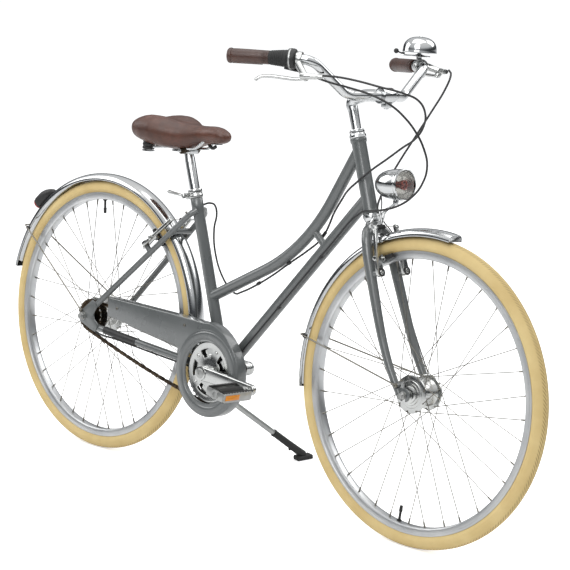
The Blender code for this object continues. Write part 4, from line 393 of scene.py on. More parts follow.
def lathe(profile, matrix, steps=64, closed=False, angle=TURN):
    """A profile of (radius, height) points spun about the matrix's local Z."""
    path = [(radius, 0, height) for radius, height in profile]
    if closed:
        path.append(path[0])
    obj = draw(path)
    bpy.ops.mesh.select_all(action="SELECT")
    if closed:
        bpy.ops.mesh.remove_doubles(threshold=MERGE_DISTANCE)
    bpy.ops.mesh.spin(steps=steps, angle=angle, center=(0, 0, 0), axis=(0, 0, 1))
    clean()
    obj.matrix_world = matrix
    return obj


def slab(outline, thickness, matrix):
    """A flat outline in the matrix's local XY, filled and extruded both ways."""
    obj = draw([(x, y, -thickness / 2) for x, y in outline])
    bpy.ops.mesh.select_all(action="SELECT")
    bpy.ops.mesh.edge_face_add()
    bpy.ops.mesh.extrude_region_move(TRANSFORM_OT_translate={"value": (0, 0, thickness)})
    clean()
    obj.matrix_world = matrix
    return obj


def rod(begin, end, radius, end_radius=None, sides=24):
    """A round bar or cone between two points."""
    begin = Vector(begin)
    run = Vector(end) - begin
    start()
    bpy.ops.mesh.primitive_cone_add(vertices=sides, radius1=radius, depth=run.length,
            radius2=radius if end_radius is None else end_radius)
    obj = bpy.context.object
    obj.matrix_world = facing(run, begin + run / 2)
    return obj


def block(size, matrix):
    start()
    bpy.ops.mesh.primitive_cube_add(size=1.0)
    obj = bpy.context.object
    obj.scale = size
    bpy.ops.object.transform_apply(location=False, rotation=False, scale=True)
    obj.matrix_world = matrix
    return obj


def soften(obj, width, segments=2):
    """Rounds the piece's sharp edges."""
    pick(obj)
    bevel = obj.modifiers.new("round", "BEVEL")
    bevel.width = width
    bevel.segments = segments
    bevel.limit_method = "ANGLE"
    bevel.angle_limit = radians(40)
    bpy.ops.object.modifier_apply(modifier="round")
    return obj


def pipe(points, radius, widths=None, sides=16, closed=False, resolution=6, straight=False):
    """A round bar on a smooth curve through the points, or straight from point to point."""
    start()
    bpy.ops.curve.primitive_bezier_curve_add()
    obj = bpy.context.object
    curve = obj.data
    curve.bevel_depth = radius
    curve.bevel_resolution = (sides - 4) // 2
    curve.resolution_u = 1 if straight else resolution
    curve.use_fill_caps = not closed
    spline = curve.splines[0]
    spline.bezier_points.add(len(points) - 2)
    spline.use_cyclic_u = closed
    for place, point in enumerate(points):
        knot = spline.bezier_points[place]
        knot.co = point
        knot.handle_left_type = "VECTOR" if straight else "AUTO"
        knot.handle_right_type = "VECTOR" if straight else "AUTO"
        knot.radius = widths[place] if widths else 1.0
    bpy.ops.object.convert(target="MESH")
    obj = bpy.context.object
    bpy.ops.object.mode_set(mode="EDIT")
    clean()
    return obj


def carve(obj, *others, operation="DIFFERENCE"):
    """Cuts the other closed pieces out of the piece, or welds them on."""
    for other in others:
        pick(obj)
        change = obj.modifiers.new("carve", "BOOLEAN")
        change.operation = operation
        change.solver = "EXACT"
        change.object = other
        bpy.context.view_layer.update()
        bpy.ops.object.modifier_apply(modifier="carve")
        bpy.data.objects.remove(other)
    return obj


def ball(at, radius, segments=24):
    start()
    bpy.ops.mesh.primitive_uv_sphere_add(segments=segments, ring_count=segments // 2, radius=radius,
            location=at)
    return bpy.context.object


def rounded(points, radii, steps=10):
    """The points joined by straight lines, with an arc of its own radius at each inner corner."""
    path = [points[0]]
    for before, corner, after, radius in zip(points, points[1:], points[2:], radii):
        back = (before - corner).normalized()
        onward = (after - corner).normalized()
        half = back.angle(onward) / 2
        centre = corner + (back + onward).normalized() * radius / sin(half)
        first = corner + back * radius / tan(half) - centre
        last = corner + onward * radius / tan(half) - centre
        for step in range(steps + 1):
            turn = Matrix.Rotation((pi - 2 * half) * step / steps, 3, first.cross(last))
            path.append(centre + turn @ first)
    path.append(points[-1])
    return path


def copy(obj, matrix):
    """A copy with its own mesh, moved by the matrix."""
    twin = obj.copy()
    twin.data = obj.data.copy()
    bpy.context.scene.collection.objects.link(twin)
    twin.matrix_world = matrix @ obj.matrix_world
    return twin


def merge(*pieces):
    """The pieces joined as one object, in the bike's frame."""
    start()
    for piece in pieces:
        piece.select_set(True)
    bpy.context.view_layer.objects.active = pieces[0]
    if len(pieces) > 1:
        bpy.ops.object.join()
    return bpy.context.object


def settle(obj, name, body, material, stands_for=(), angle=35):
    """Leans the piece with the bike, puts its place in its mesh, finishes it and hangs it on its body."""
    pick(obj)
    bpy.context.view_layer.update()
    obj.matrix_world = BIKE @ obj.matrix_world
    bpy.ops.object.transform_apply(location=True, rotation=True, scale=True)
    bpy.ops.object.shade_smooth_by_angle(angle=radians(angle))
    obj.name = name
    obj.data.name = name
    obj.data.materials.clear()
    obj.data.materials.append(material)
    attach(obj, body)
    if stands_for:
        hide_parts(*stands_for)
    return obj


def side_point(point, side):
    return Vector((point[0], point[1] * side, point[2]))


def polar(centre, radius, angle):
    """A point of the side plane as (x, z)."""
    return (centre[0] + radius * cos(angle), centre[1] + radius * sin(angle))


def flipped(profile):
    """The profile's mirror image across height 0, in reverse order."""
    return [(radius, -height) for radius, height in reversed(profile)]


def mm(*points):
    """Points given in millimetres."""
    return [tuple(value / 1000 for value in point) for point in points]


def beside(at):
    """A matrix at the point with its local Z across the bike, to the right."""
    return move(at) @ SIDE


def spread(centre, radius, first, last, steps):
    """Points along an arc of the side plane."""
    return [polar(centre, radius, first + (last - first) * step / steps) for step in range(steps + 1)]


def on_seat(length, side=0.0):
    return BRACKET + SEAT_UP * length + ACROSS * side


def on_steer(length, forward=0.0, side=0.0):
    return STEER_FOOT + STEER_UP * length + STEER_FORWARD * forward + ACROSS * side


# Wheels

def tyre(name, hub, body, material, node):
    """A balloon section on its beads, with a moulded ring low on each sidewall."""
    bead = mm((312.5, 9.8), (316.5, 10.4), (318.5, 12.8))
    section = bead[:]
    for degrees in range(118, -119, -7):
        angle = radians(degrees)
        swell = 0.0004 if 96 <= abs(degrees) <= 104 else 0.0
        section.append((0.3295 + (0.0185 + swell) * cos(angle), (0.0185 + swell) * sin(angle)))
    section += flipped(bead)
    shape = lathe(section, beside(hub), 128, closed=True)
    settle(shape, name, body, material, (node,), 60)


def rim(name, hub, body, material, node):
    """A box section: hooked edges, flat brake tracks with a wear line, and a rounded inner bed."""
    wall = mm((317.2, 12.2), (316.8, 12.6), (312, 12.6), (311.6, 12.2), (311.2, 12.6), (303.5, 12.6),
            (302, 12.1), (299.5, 10.8), (298.5, 8.5), (298, 4))
    bed = mm((316.8, -10.8), (310, -10.6), (309.5, 0), (310, 10.6), (316.8, 10.8))
    shape = lathe(wall + [(0.2979, 0.0)] + flipped(wall) + bed, beside(hub), 128, closed=True)
    settle(shape, name, body, material, (node,), 30)


def spokes(name, hub, body, flanges):
    """Crossed spokes with elbows in the flanges and steel nipples in the rim."""
    made = []
    for side, place, holes in flanges:
        for odd in (0, 1):
            rim_angle = pi * (odd + (side > 0) / 2) / 9
            lean = radians(60 if odd else -60)
            stagger = 0.0024 if odd else -0.0024
            hub_x, hub_z = polar((hub.x, hub.z), holes, rim_angle + lean)
            rim_x, rim_z = polar((hub.x, hub.z), 0.2975, rim_angle)
            begin = Vector((hub_x, side * place + stagger, hub_z))
            end = Vector((rim_x, side * 0.003, rim_z))
            run = (end - begin).normalized()
            wire = rod(begin, end, 0.00095, sides=6)
            nipple = rod(end - run * 0.012, end + run * 0.0005, 0.0017, 0.0021, sides=8)
            head = rod(begin - ACROSS * (stagger * 0.7), begin + ACROSS * (stagger * 0.5), 0.0017, sides=8)
            master = merge(wire, nipple, head)
            made.append(master)
            for number in range(1, 9):
                around = move(hub) @ Matrix.Rotation(-TURN * number / 9, 4, "Y")
                made.append(copy(master, around @ move(-hub)))
    settle(merge(*made), name, body, STAINLESS, (), 40)


def rear_hub():
    """The hub gear's shell: a fat drum between two flanges, with turned steps and dust caps."""
    half = mm((5.5, 37.5), (16.5, 37.8), (20.5, 36.8), (21.2, 34), (23.5, 33.5), (24, 30), (29, 28.5),
            (45.5, 28), (46.5, 27.2), (46.5, 24.8), (45.5, 24), (32, 23.8), (30.2, 22.5), (29.8, 18),
            (30.5, 15))
    shell = lathe(half + flipped(half), beside(REAR), 72, closed=True)
    settle(shell, "rear_hub_shell", "rear_wheel", POLISHED, ("rear_hub",), 30)
    spokes("rear_spokes", REAR, "rear_wheel", [(-1, 0.026, 0.0435), (1, 0.026, 0.0435)])


def front_hub():
    """The dynamo's shell: wide flanges with stepped end faces and a waist between them."""
    face = mm((5.5, 39.5), (10, 39.8), (15, 39.2), (18.8, 37.5), (19.5, 35), (24, 34.5), (25, 32.5),
            (30, 32), (31, 30.8))
    left = mm((41.5, 30.5), (43, 29.8), (43, 28), (41.8, 27.2))
    right = mm((38.8, -27.2), (40, -28), (40, -29.8), (38.8, -30.5))
    waist = mm((31, 26.8), (28.5, 24), (23.5, 16.5), (22.2, 13))
    profile = face + left + waist + [(0.0218, 0.0)] + flipped(waist) + right + flipped(face)
    shell = lathe(profile, beside(FRONT), 72, closed=True)
    settle(shell, "front_hub_shell", "front_wheel", POLISHED, ("front_hub",), 30)
    spokes("front_spokes", FRONT, "front_wheel", [(-1, 0.029, 0.04), (1, 0.029, 0.037)])


def valve(name, hub, body, degrees):
    """A black-capped valve with its stem through the rim."""
    out = Vector((cos(radians(degrees)), 0, sin(radians(degrees))))
    root = hub + out * 0.2985
    stem = rod(root, root - out * 0.03, 0.0031, 0.0029, sides=12)
    collar = rod(root + out * 0.001, root - out * 0.003, 0.006, sides=6)
    cap = soften(rod(root - out * 0.022, root - out * 0.036, 0.0042, 0.0036, sides=12), 0.0006)
    settle(merge(stem, collar, cap), name, body, RUBBER)


tyre("rear_tyre_shown", REAR, "rear_wheel", REAR_TREAD, "rear_tyre")
tyre("front_tyre_shown", FRONT, "front_wheel", FRONT_TREAD, "front_tyre")
rim("rear_rim_shown", REAR, "rear_wheel", REAR_ANODISED, "rear_rim")
rim("front_rim_shown", FRONT, "front_wheel", FRONT_ANODISED, "front_rim")
rear_hub()
front_hub()
valve("rear_valve", REAR, "rear_wheel", 95)
valve("front_valve", FRONT, "front_wheel", 265)


# Mudguards

def fender(name, centre, first, last, steps, node, body):
    """Rolled stainless strip with a beaded centre line and rolled edges."""
    half = mm((351, 23), (356, 22.1), (361, 19.6), (364.2, 15.2), (366.2, 10), (366.7, 7.2), (367.3, 5))
    outer = half + flipped(half)
    inner = [(radius - 0.0011, height * 0.965) for radius, height in reversed(outer)]
    curl = [(0.3502, 0.0216), (0.3498, 0.0226)]
    strip = lathe(outer + flipped(curl) + inner + curl, Matrix(), steps, closed=True,
            angle=radians(last - first))
    pick(strip)
    bpy.ops.object.mode_set(mode="EDIT")
    bpy.ops.mesh.select_all(action="DESELECT")
    bpy.ops.mesh.select_mode(type="EDGE")
    bpy.ops.mesh.select_non_manifold()
    bpy.ops.mesh.edge_face_add()
    clean()
    strip.matrix_world = beside(centre) @ Matrix.Rotation(radians(last), 4, "Z")
    settle(strip, name, body, CHROME, (node,), 40)


# Cables, on the routes of their solids

REAR_BRAKE_ROUTE = mm((890, -199, 1029), (917, -184, 1029), (955, -165, 1025), (1008, -138, 1015),
        (1048, -110, 1006), (1070, -85, 993), (1074, -65, 968), (1061, -50, 939), (1033, -40, 909),
        (993, -34, 885), (949, -30, 856), (901, -26.5, 825), (862, -23.5, 796), (828, -18, 770),
        (800, -4, 746.5), (775, 0, 711), (758, 8.5, 687), (742, 12.5, 661), (726, 12.5, 640),
        (700, 6, 615.5), (646, 0, 575.5), (600, 0, 543), (552, 0, 513), (497, 0, 484.5), (455, 16, 475),
        (410, 22.5, 500), (372, 23.5, 560), (362, 22.5, 620), (368, 21.5, 660), (360, 20.5, 678),
        (344, 21.5, 681), (322, 24.5, 676), (292, 27, 662))
SHIFT_ROUTE = mm((808, -201.5, 1035), (838, -181, 1025.5), (884, -171, 1015.5), (943, -168, 1008),
        (995, -152, 997), (1032, -130, 979), (1054, -110, 957), (1073, -90, 927), (1085, -72, 892),
        (1087, -58, 856), (1070, -48, 815), (1041, -46, 781), (1004, -48, 757), (965, -49, 744),
        (925, -41, 736.5), (882, -24, 728), (845, -20.5, 702), (812, -18.5, 666), (760, -17.8, 607),
        (680, -17.8, 516), (600, -17.8, 424.5), (530, -17.8, 344.5), (497, -17.8, 304), (486, -16.5, 272),
        (462, -18, 257.8), (425, -26.5, 274), (380, -29.5, 279), (340, -35.5, 283.5), (300, -40, 287.5),
        (200, -50, 297.5), (110, -56, 306), (60, -58, 308), (34, -58, 314.5), (16.5, -58, 330))
FRONT_BRAKE_ROUTE = mm((893.5, 223, 1056), (916, 204, 1046), (922, 180, 1012), (914, 150, 962),
        (902, 110, 897), (897, 70, 842), (893, 40, 795), (897, 18, 765), (915, -10, 750), (932, -30, 742),
        (940, -37, 729))


def cable(name, route, node, body):
    settle(pipe(route, 0.0024, sides=12, resolution=5), name, body, HOUSING, (node,), 60)


fender("rear_mudguard", REAR_GUARD_CENTRE, -6, 167, 96, "rear_fender", "frame")
fender("front_mudguard", FRONT_GUARD_CENTRE, 81.7, 187.7, 64, "front_fender", "fork")
cable("rear_brake_housing", REAR_BRAKE_ROUTE, "rear_brake_cable", "frame")
cable("shift_housing", SHIFT_ROUTE, "shift_cable", "frame")
cable("front_brake_housing", FRONT_BRAKE_ROUTE, "front_brake_cable", "fork")


# Chain

def chain_points():
    """The chain's pitch line as points one pitch apart, from part.py's wheels and sag."""
    ring = RING_TEETH * PITCH / TURN
    cog = COG_TEETH * PITCH / TURN
    rear = (REAR.x, REAR.z)
    front = (BRACKET.x, BRACKET.z)
    run = Vector((front[0] - rear[0], front[1] - rear[1]))
    heading = atan2(run.y, run.x)
    tilt = acos((cog - ring) / run.length)
    line = spread(front, ring, heading + tilt, heading - tilt, 60)
    end = Vector(polar(rear, cog, heading - tilt + TURN))
    begin = Vector(line[-1])
    for step in range(1, 40):
        share = step / 40
        point = begin.lerp(end, share)
        line.append((point.x, point.y - 0.007 * sin(pi * share)))
    line += spread(rear, cog, heading - tilt + TURN, heading + tilt, 40)
    line.append(line[0])
    lengths = [0.0]
    for before, after in zip(line, line[1:]):
        lengths.append(lengths[-1] + dist(before, after))
    count = 2 * round(lengths[-1] / PITCH / 2)
    points = []
    place = 0
    for number in range(count):
        goal = lengths[-1] * number / count
        while lengths[place + 1] < goal:
            place += 1
        share = (goal - lengths[place]) / (lengths[place + 1] - lengths[place])
        points.append(Vector(line[place]).lerp(Vector(line[place + 1]), share))
    return points


def chain_link(gap, thickness):
    """Two waisted plates with a roller at one end, along local X."""
    outline = spread((-PITCH / 2, 0), 0.0041, radians(60), radians(300), 5)
    outline += spread((PITCH / 2, 0), 0.0041, radians(-120), radians(120), 5)
    plates = [slab(outline, thickness, move((0, 0, side * gap))) for side in (-1, 1)]
    roller = rod((-PITCH / 2, 0, -gap), (-PITCH / 2, 0, gap), 0.003, sides=8)
    return merge(*plates, roller)


def chain():
    points = chain_points()
    outer = chain_link(0.003, 0.001)
    inner = chain_link(0.0018, 0.0009)
    made = []
    for number, point in enumerate(points):
        after = points[(number + 1) % len(points)]
        run = (after - point).normalized()
        middle = (point + after) / 2
        along = Vector((run.x, 0, run.y))
        across = Vector((-run.y, 0, run.x))
        at = axes(along, across, along.cross(across), Vector((middle.x, -CHAIN_LINE, middle.y)))
        made.append(copy(outer if number % 2 else inner, at))
    bpy.data.objects.remove(outer)
    bpy.data.objects.remove(inner)
    settle(merge(*made), "chain_links", "frame", OILED, ("chain",), 30)


chain()


# Saddle

SADDLE_STATIONS = mm((128, 40, 862, 840, 4), (131, 60, 870, 830, 6), (140, 77, 876, 823, 8),
        (158, 90, 881, 816, 10), (185, 96, 884, 811, 10), (215, 93.5, 884, 808, 9), (242, 82, 879, 807, 8),
        (266, 66, 873, 808, 5), (290, 50, 868, 812, 2), (315, 38, 866, 820, 0), (340, 31, 867, 827, 0),
        (365, 28, 869, 831, 0), (388, 26, 868, 833, 0), (404, 21, 863, 835, 0), (412, 14, 856, 839, 0),
        (415, 7, 849, 843, 0))


def saddle_section(station):
    """One closed section: two seat bones' lobes at the rear, round shoulders and tucked-in skirts."""
    x, half, crown, skirt, dip = station
    points = []
    for step in range(28):
        angle = TURN * step / 28
        across = cos(angle)
        high = sin(angle)
        y = half * copysign(abs(across) ** 0.8, across)
        middle = (crown + skirt) / 2
        if high >= 0:
            z = middle + (crown - middle) * high ** 0.72
            z -= dip * max(0.0, 1 - (y / (half * 0.45)) ** 2)
        else:
            z = middle - (middle - skirt) * abs(high) ** 0.55
            y *= 1 - 0.16 * abs(high)
        points.append(Vector((x, y, z)))
    return points


def loft(rings):
    """A circle placed on the first section and extruded from section to section."""
    start()
    bpy.ops.mesh.primitive_circle_add(vertices=len(rings[0]), radius=1.0)
    obj = bpy.context.object
    bpy.ops.object.mode_set(mode="EDIT")
    bpy.ops.mesh.select_all(action="SELECT")
    shape = bmesh.from_edit_mesh(obj.data)
    for vertex, point in zip(list(shape.verts), rings[0]):
        vertex.co = point
    bpy.ops.mesh.edge_face_add()
    for before, after in zip(rings, rings[1:]):
        bpy.ops.mesh.extrude_region_move(TRANSFORM_OT_translate={"value": (0, 0, 0)})
        shape = bmesh.from_edit_mesh(obj.data)
        for vertex in [v for v in shape.verts if v.select]:
            near = min(range(len(before)), key=lambda place: (before[place] - vertex.co).length_squared)
            vertex.co = after[near]
        bmesh.update_edit_mesh(obj.data)
    clean()
    return obj


# The size of the pad's even mesh
PAD_GRID = 0.0042


def plump(obj, pressure, cap, frames=20):
    """Remeshes the pad and swells it by a cloth simulation, and keeps each point near where it was."""
    pick(obj)
    remesh = obj.modifiers.new("even", "REMESH")
    remesh.mode = "VOXEL"
    remesh.voxel_size = PAD_GRID
    bpy.ops.object.modifier_apply(modifier="even")
    before = [vertex.co.copy() for vertex in obj.data.vertices]
    cloth = obj.modifiers.new("swell", "CLOTH")
    cloth.settings.use_pressure = True
    cloth.settings.uniform_pressure_force = pressure
    cloth.settings.effector_weights.gravity = 0.0
    cloth.point_cache.frame_start = 1
    cloth.point_cache.frame_end = frames
    for number in range(1, frames + 1):
        bpy.context.scene.frame_set(number)
    pick(obj)
    bpy.ops.object.modifier_apply(modifier="swell")
    bpy.context.scene.frame_set(1)
    for vertex, old in zip(obj.data.vertices, before):
        swell = vertex.co - old
        if swell.length > cap:
            vertex.co = old + swell.normalized() * cap
    smooth = obj.modifiers.new("ease", "SMOOTH")
    smooth.factor = 0.5
    smooth.iterations = 6
    bpy.ops.object.modifier_apply(modifier="ease")
    fine = obj.modifiers.new("fine", "SUBSURF")
    fine.levels = 1
    fine.render_levels = 1
    bpy.ops.object.modifier_apply(modifier="fine")


# The cloth simulation's pressure, and how far it may move a point of the pad
PAD_PRESSURE = 4.0
PAD_REACH = 0.003


def saddle():
    shape = loft([saddle_section(station) for station in SADDLE_STATIONS])
    plump(shape, PAD_PRESSURE, PAD_REACH)
    settle(shape, "saddle_cover", "seat_post", SADDLE_HIDE, ("saddle",), 180)


saddle()


# Frame

STEER = facing(STEER_UP, STEER_FOOT)
SEAT = facing(SEAT_UP, BRACKET)
STAY_PATH = mm((445, 24.3, 286), (400, 28, 289), (376, 30.5, 292), (350, 34.5, 295), (300, 40, 300),
        (200, 50, 310), (60, 59, 323.5), (36, 60.5, 326))
STAY_TOP = Vector((0.322, 0.0255, 0.651))
STAY_FOOT = Vector((0.005, 0.064, 0.352))
STAY_RUN = (STAY_TOP - STAY_FOOT).normalized()


def reach(begin, end, centre, radius):
    """Where the line from begin to end is at this distance from the wheel's axle, seen from the side."""
    run = end - begin
    off = begin - centre
    a = run.x ** 2 + run.z ** 2
    b = off.x * run.x + off.z * run.z
    c = off.x ** 2 + off.z ** 2 - radius ** 2
    root = sqrt(b * b - a * c)
    return begin + run * min(((-b - root) / a, (-b + root) / a), key=lambda share: abs(share - 0.5))


REAR_PIVOT = reach(STAY_TOP, STAY_FOOT, REAR, 0.281)
REAR_BOSS = Vector((-STAY_RUN.z, 0, STAY_RUN.x)).normalized()
REAR_ARM_UP = Vector((REAR_BOSS.z, 0, -REAR_BOSS.x))
BLADE = mm((897, 4, 692), (904, 23.5, 688), (914, 36, 671), (921.5, 39.5, 650), (932, 42, 620),
        (956, 45, 558), (979, 48, 500), (1003, 50, 445), (1031, 51.5, 393), (1060, 52, 349))
BLADE_HIGH = Vector((0.92, 0.04, 0.663))
BLADE_LOW = Vector((0.956, 0.045, 0.558))
FRONT_PIVOT = reach(BLADE_HIGH, BLADE_LOW, FRONT, 0.281)
BLADE_RUN = (BLADE_HIGH - BLADE_LOW).normalized()
FRONT_BOSS = Vector((BLADE_RUN.z, 0, -BLADE_RUN.x)).normalized()
FRONT_ARM_UP = Vector((-FRONT_BOSS.z, 0, FRONT_BOSS.x))


def bosses(root, run):
    return [rod(root, root + run * 0.0195, 0.0075, 0.0062, sides=20), rod(root, root + run * 0.03, 0.004,
            sides=16)]


def bolt(at, run, radius, height=0.003):
    """A domed bolt head with a round socket."""
    return lathe([(0, 0), (radius, 0), (radius, height * 0.6), (radius * 0.8, height),
            (radius * 0.45, height), (radius * 0.45, height * 0.4), (0, height * 0.4)], facing(run, at), 20)


def rear_dropout(side):
    outline = spread((0, 0), 0.019, radians(100), radians(262), 14)
    outline += mm((30, -30), (46, -34), (53, -26), (56, -14), (40, -2), (36, 10), (46, 30), (40, 40),
            (30, 46))
    plate = slab(outline, 0.005, beside(REAR + ACROSS * side * 0.0675))
    carve(plate, block((0.04, 0.03, 0.0106), move(REAR + Vector((-0.02, side * 0.0675, 0)))))
    return soften(plate, 0.0008)


def frame_piece():
    """Head tube with rings, curved top tube, down tube, seat tube, stays, bridges, dropouts and bosses."""
    corner = Vector((0.699, 0, 0.616))
    strut = Vector((0.716, 0, 0.667))
    down_top = on_steer(0.455)
    down_run = (down_top - BRACKET).normalized()
    strut_foot = BRACKET + down_run * (strut - BRACKET).dot(down_run)
    pieces = [
        lathe(mm((13.4, 417.2), (18.6, 417.2), (19, 418.5), (19, 424.5), (18.4, 426.2), (17.2, 426.8),
            (17, 429), (17, 580), (17.2, 582.2), (18.4, 582.8), (19, 584.5), (19, 590.5), (18.6, 591.8),
            (13.4, 591.8)), STEER, 48, closed=True),
        pipe(rounded([on_steer(0.5675), corner, on_seat(0.185)], [0.49], 30), 0.0139, sides=28,
            straight=True),
        rod(BRACKET, down_top, 0.015, sides=36),
        lathe(mm((13.1, 0), (14.3, 0), (14.3, 402), (15.2, 404.5), (15.2, 430.5), (14.8, 431), (13.1, 431)),
            SEAT, 40, closed=True),
        lathe(mm((17.2, 33.8), (20, 34), (20.6, 33), (20.6, -33), (20, -34), (17.2, -33.8)),
            beside(BRACKET), 48, closed=True),
        rod(strut, strut_foot, 0.0085, sides=20),
        rod((0.37, -0.024, 0.2925), (0.37, 0.024, 0.2925), 0.0075, sides=20),
        soften(block((0.04, 0.044, 0.004), move((0.39, 0, 0.29))), 0.0008)]
    out = Vector((cos(radians(43)), 0, sin(radians(43))))
    bridge = REAR_GUARD_CENTRE + out * 0.3748
    pieces.append(rod(bridge - ACROSS * 0.0315, bridge + ACROSS * 0.0315, 0.0075, sides=20))
    for side in (-1, 1):
        lower = [side_point(point, side) for point in STAY_PATH]
        pieces.append(pipe(lower, 0.009, [1, 1, 1, 1, 1, 1, 0.92, 0.88], sides=20, resolution=4))
        upper = [side_point(point, side) for point in (Vector((0.333, 0.012, 0.6635)), STAY_TOP,
                STAY_TOP.lerp(STAY_FOOT, 0.921))]
        pieces.append(pipe(rounded(upper, [0.02], 8), 0.0075, sides=20, straight=True))
        pieces += bosses(side_point(REAR_PIVOT, side), REAR_BOSS)
        pieces.append(rear_dropout(side))
    settle(merge(*pieces), "frame_tubes", "frame", ENAMEL, ("frame",), 40)


def headset():
    """Turned cups with a bead at each edge, and the adjusting nuts above them."""
    lower = lathe(mm((13.1, 399.7), (15, 399.7), (16.8, 401), (17.8, 405.5), (19.3, 408), (19.5, 414),
            (18.8, 416.6), (13.1, 416.6)), STEER, 48, closed=True)
    settle(lower, "lower_headset_cup", "frame", CHROME, ("headset_lower_cup",), 25)
    upper = lathe(mm((13.1, 592.6), (18.6, 592.6), (19.5, 594.5), (19.3, 599), (18, 601.2), (17.2, 602.8),
            (13.1, 602.8)), STEER, 48, closed=True)
    settle(upper, "upper_headset_cup", "frame", CHROME, ("headset_upper_cup",), 25)
    nut = soften(rod(on_steer(0.6036), on_steer(0.61), 0.0176, sides=8), 0.0008)
    ring = lathe(mm((10.8, 609.5), (16.5, 609.5), (16.8, 610.5), (16, 612), (10.8, 612)), STEER, 48,
            closed=True)
    settle(merge(nut, ring), "headset_nut", "fork", CHROME, (), 25)


def front_dropout(side):
    outline = spread((0, 0), 0.0155, radians(-130), radians(110), 18)
    outline += mm((-14, 15.5), (-20, 13), (-22, 4), (-22, -4), (-16, -11))
    at = FRONT + ACROSS * side * 0.0525
    plate = slab(outline, 0.005, beside(at))
    carve(plate, block((0.0106, 0.03, 0.03), move(at - UP * 0.015)))
    return soften(plate, 0.0008)


def fork_piece():
    """Crown, raked and tapering blades, dropouts, and the posts of the brakes and the mudguard."""
    pieces = [
        lathe(mm((0, 370), (16.5, 370), (17.8, 373), (18, 390), (17.2, 396.2), (15, 399.2), (0, 399.2)),
            STEER, 48),
        rod(on_steer(0.398), on_steer(0.604), 0.0127, sides=32)]
    boss_top = on_steer(0.385)
    boss = FRONT_GUARD_CENTRE + (boss_top - FRONT_GUARD_CENTRE).normalized() * 0.3673
    pieces.append(rod(boss, boss_top, 0.0055, sides=16))
    for side in (-1, 1):
        widths = [1 - max(0.0, (place - 4) / 5) * 0.344 for place in range(10)]
        pieces.append(pipe([side_point(point, side) for point in BLADE], 0.0125, widths, sides=24,
                resolution=6))
        pieces.append(front_dropout(side))
        eye = Vector((1.06, side * 0.0627, 0.368))
        pieces.append(rod(Vector((1.06, side * 0.052, 0.368)), eye, 0.0045, sides=16))
        pieces += bosses(side_point(FRONT_PIVOT, side), FRONT_BOSS)
    settle(merge(*pieces), "fork_blades", "fork", ENAMEL, ("fork",), 40)


frame_piece()
headset()
fork_piece()


# Chain guard and drive

def guard_outline(inset, rear):
    """The guard's side view: the ring around the chainring, swelling into the arm over the chain."""
    centre = (0.46, 0.284)
    radius = 0.1085 - inset
    points = [(rear, 0.409 - inset), (0.2, 0.4075 - inset), (0.33, 0.406 - inset)]
    for step in range(19):
        share = step / 18
        points.append(polar(centre, radius + 0.00625 * (1 + cos(pi * share)), radians(101 - 61 * share)))
    points += spread(centre, radius, radians(32), radians(-200), 60)
    return points + [(0.345, 0.331 + inset), (rear, 0.361 + inset)]


def chain_guard():
    """A painted pressing: a hollow arm over the chain and a stepped ring round the chainring's opening."""
    side = beside((0, -0.048, 0))
    shell = soften(slab(guard_outline(0, 0.084), 0.03, side), 0.0022, 3)
    hollow = slab(guard_outline(0.0022, 0.06), 0.03, move((0, 0.0024, 0)) @ side)
    opening = rod((0.46, -0.054, 0.284), (0.46, -0.08, 0.284), 0.0755, sides=96)
    channel = [rod((0.47, -0.021, 0.2842), (0.35, -0.0345, 0.295), 0.016, sides=32),
            rod((0.355, -0.034, 0.2945), (0.19, -0.0508, 0.311), 0.016, sides=32)]
    run = Vector((0.46, 0, -0.105)).normalized()
    slot = block((0.074, 0.024, 0.028), axes(run, ACROSS, run.cross(ACROSS),
            Vector((0.366, -0.046, 0.2195))))
    carve(shell, *channel, slot, opening, hollow)
    ring = lathe(mm((75, 60.6), (75, 62.8), (75.8, 64), (77.5, 64.2), (79, 63.2), (83.5, 63.4), (85, 64.8),
            (87, 65.4), (96, 65.6), (98.5, 65), (100, 63.8), (103, 63.6), (105.2, 62.6), (105.8, 61.2),
            (105, 60.6)), beside(BRACKET), 128, closed=True)
    settle(merge(shell, ring), "guard_shell", "frame", ENAMEL, ("chain_guard",), 30)
    back = lathe(mm((21.5, 37.8), (62, 37.8), (62, 39), (21.5, 39)), beside(BRACKET), 64, closed=True)
    settle(back, "guard_backing", "frame", ABS, (), 30)
    screws = [bolt(Vector((x, -0.063, z)), -ACROSS, 0.0036, 0.0022) for x,
            z in ((0.12, 0.386), (0.372, 0.386))]
    settle(merge(*screws), "guard_screws", "frame", STAINLESS)


def toothed(pitch_radius, teeth):
    """The teeth of one wheel in the chain's line: one slab copied round."""
    half = pi * pitch_radius / teeth
    shape = slab([(pitch_radius - 0.0045, -half * 0.95), (pitch_radius - 0.0015, -half * 0.55),
            (pitch_radius + 0.0024, -0.0011), (pitch_radius + 0.0024, 0.0011),
            (pitch_radius - 0.0015, half * 0.55), (pitch_radius - 0.0045, half * 0.95)], 0.002,
            beside((0, -CHAIN_LINE, 0)))
    return [shape] + [copy(shape, Matrix.Rotation(-TURN * number / teeth, 4, "Y")) for number in range(1,
            teeth)]


def window(middle, far, far_half, near, near_half, thickness, face):
    """A kidney-shaped cutter between two radii, with its angles in degrees."""
    outline = spread((0, 0), far, radians(middle - far_half), radians(middle + far_half), 12)
    outline += spread((0, 0), near, radians(middle + near_half), radians(middle - near_half), 10)
    return slab(outline, thickness, face)


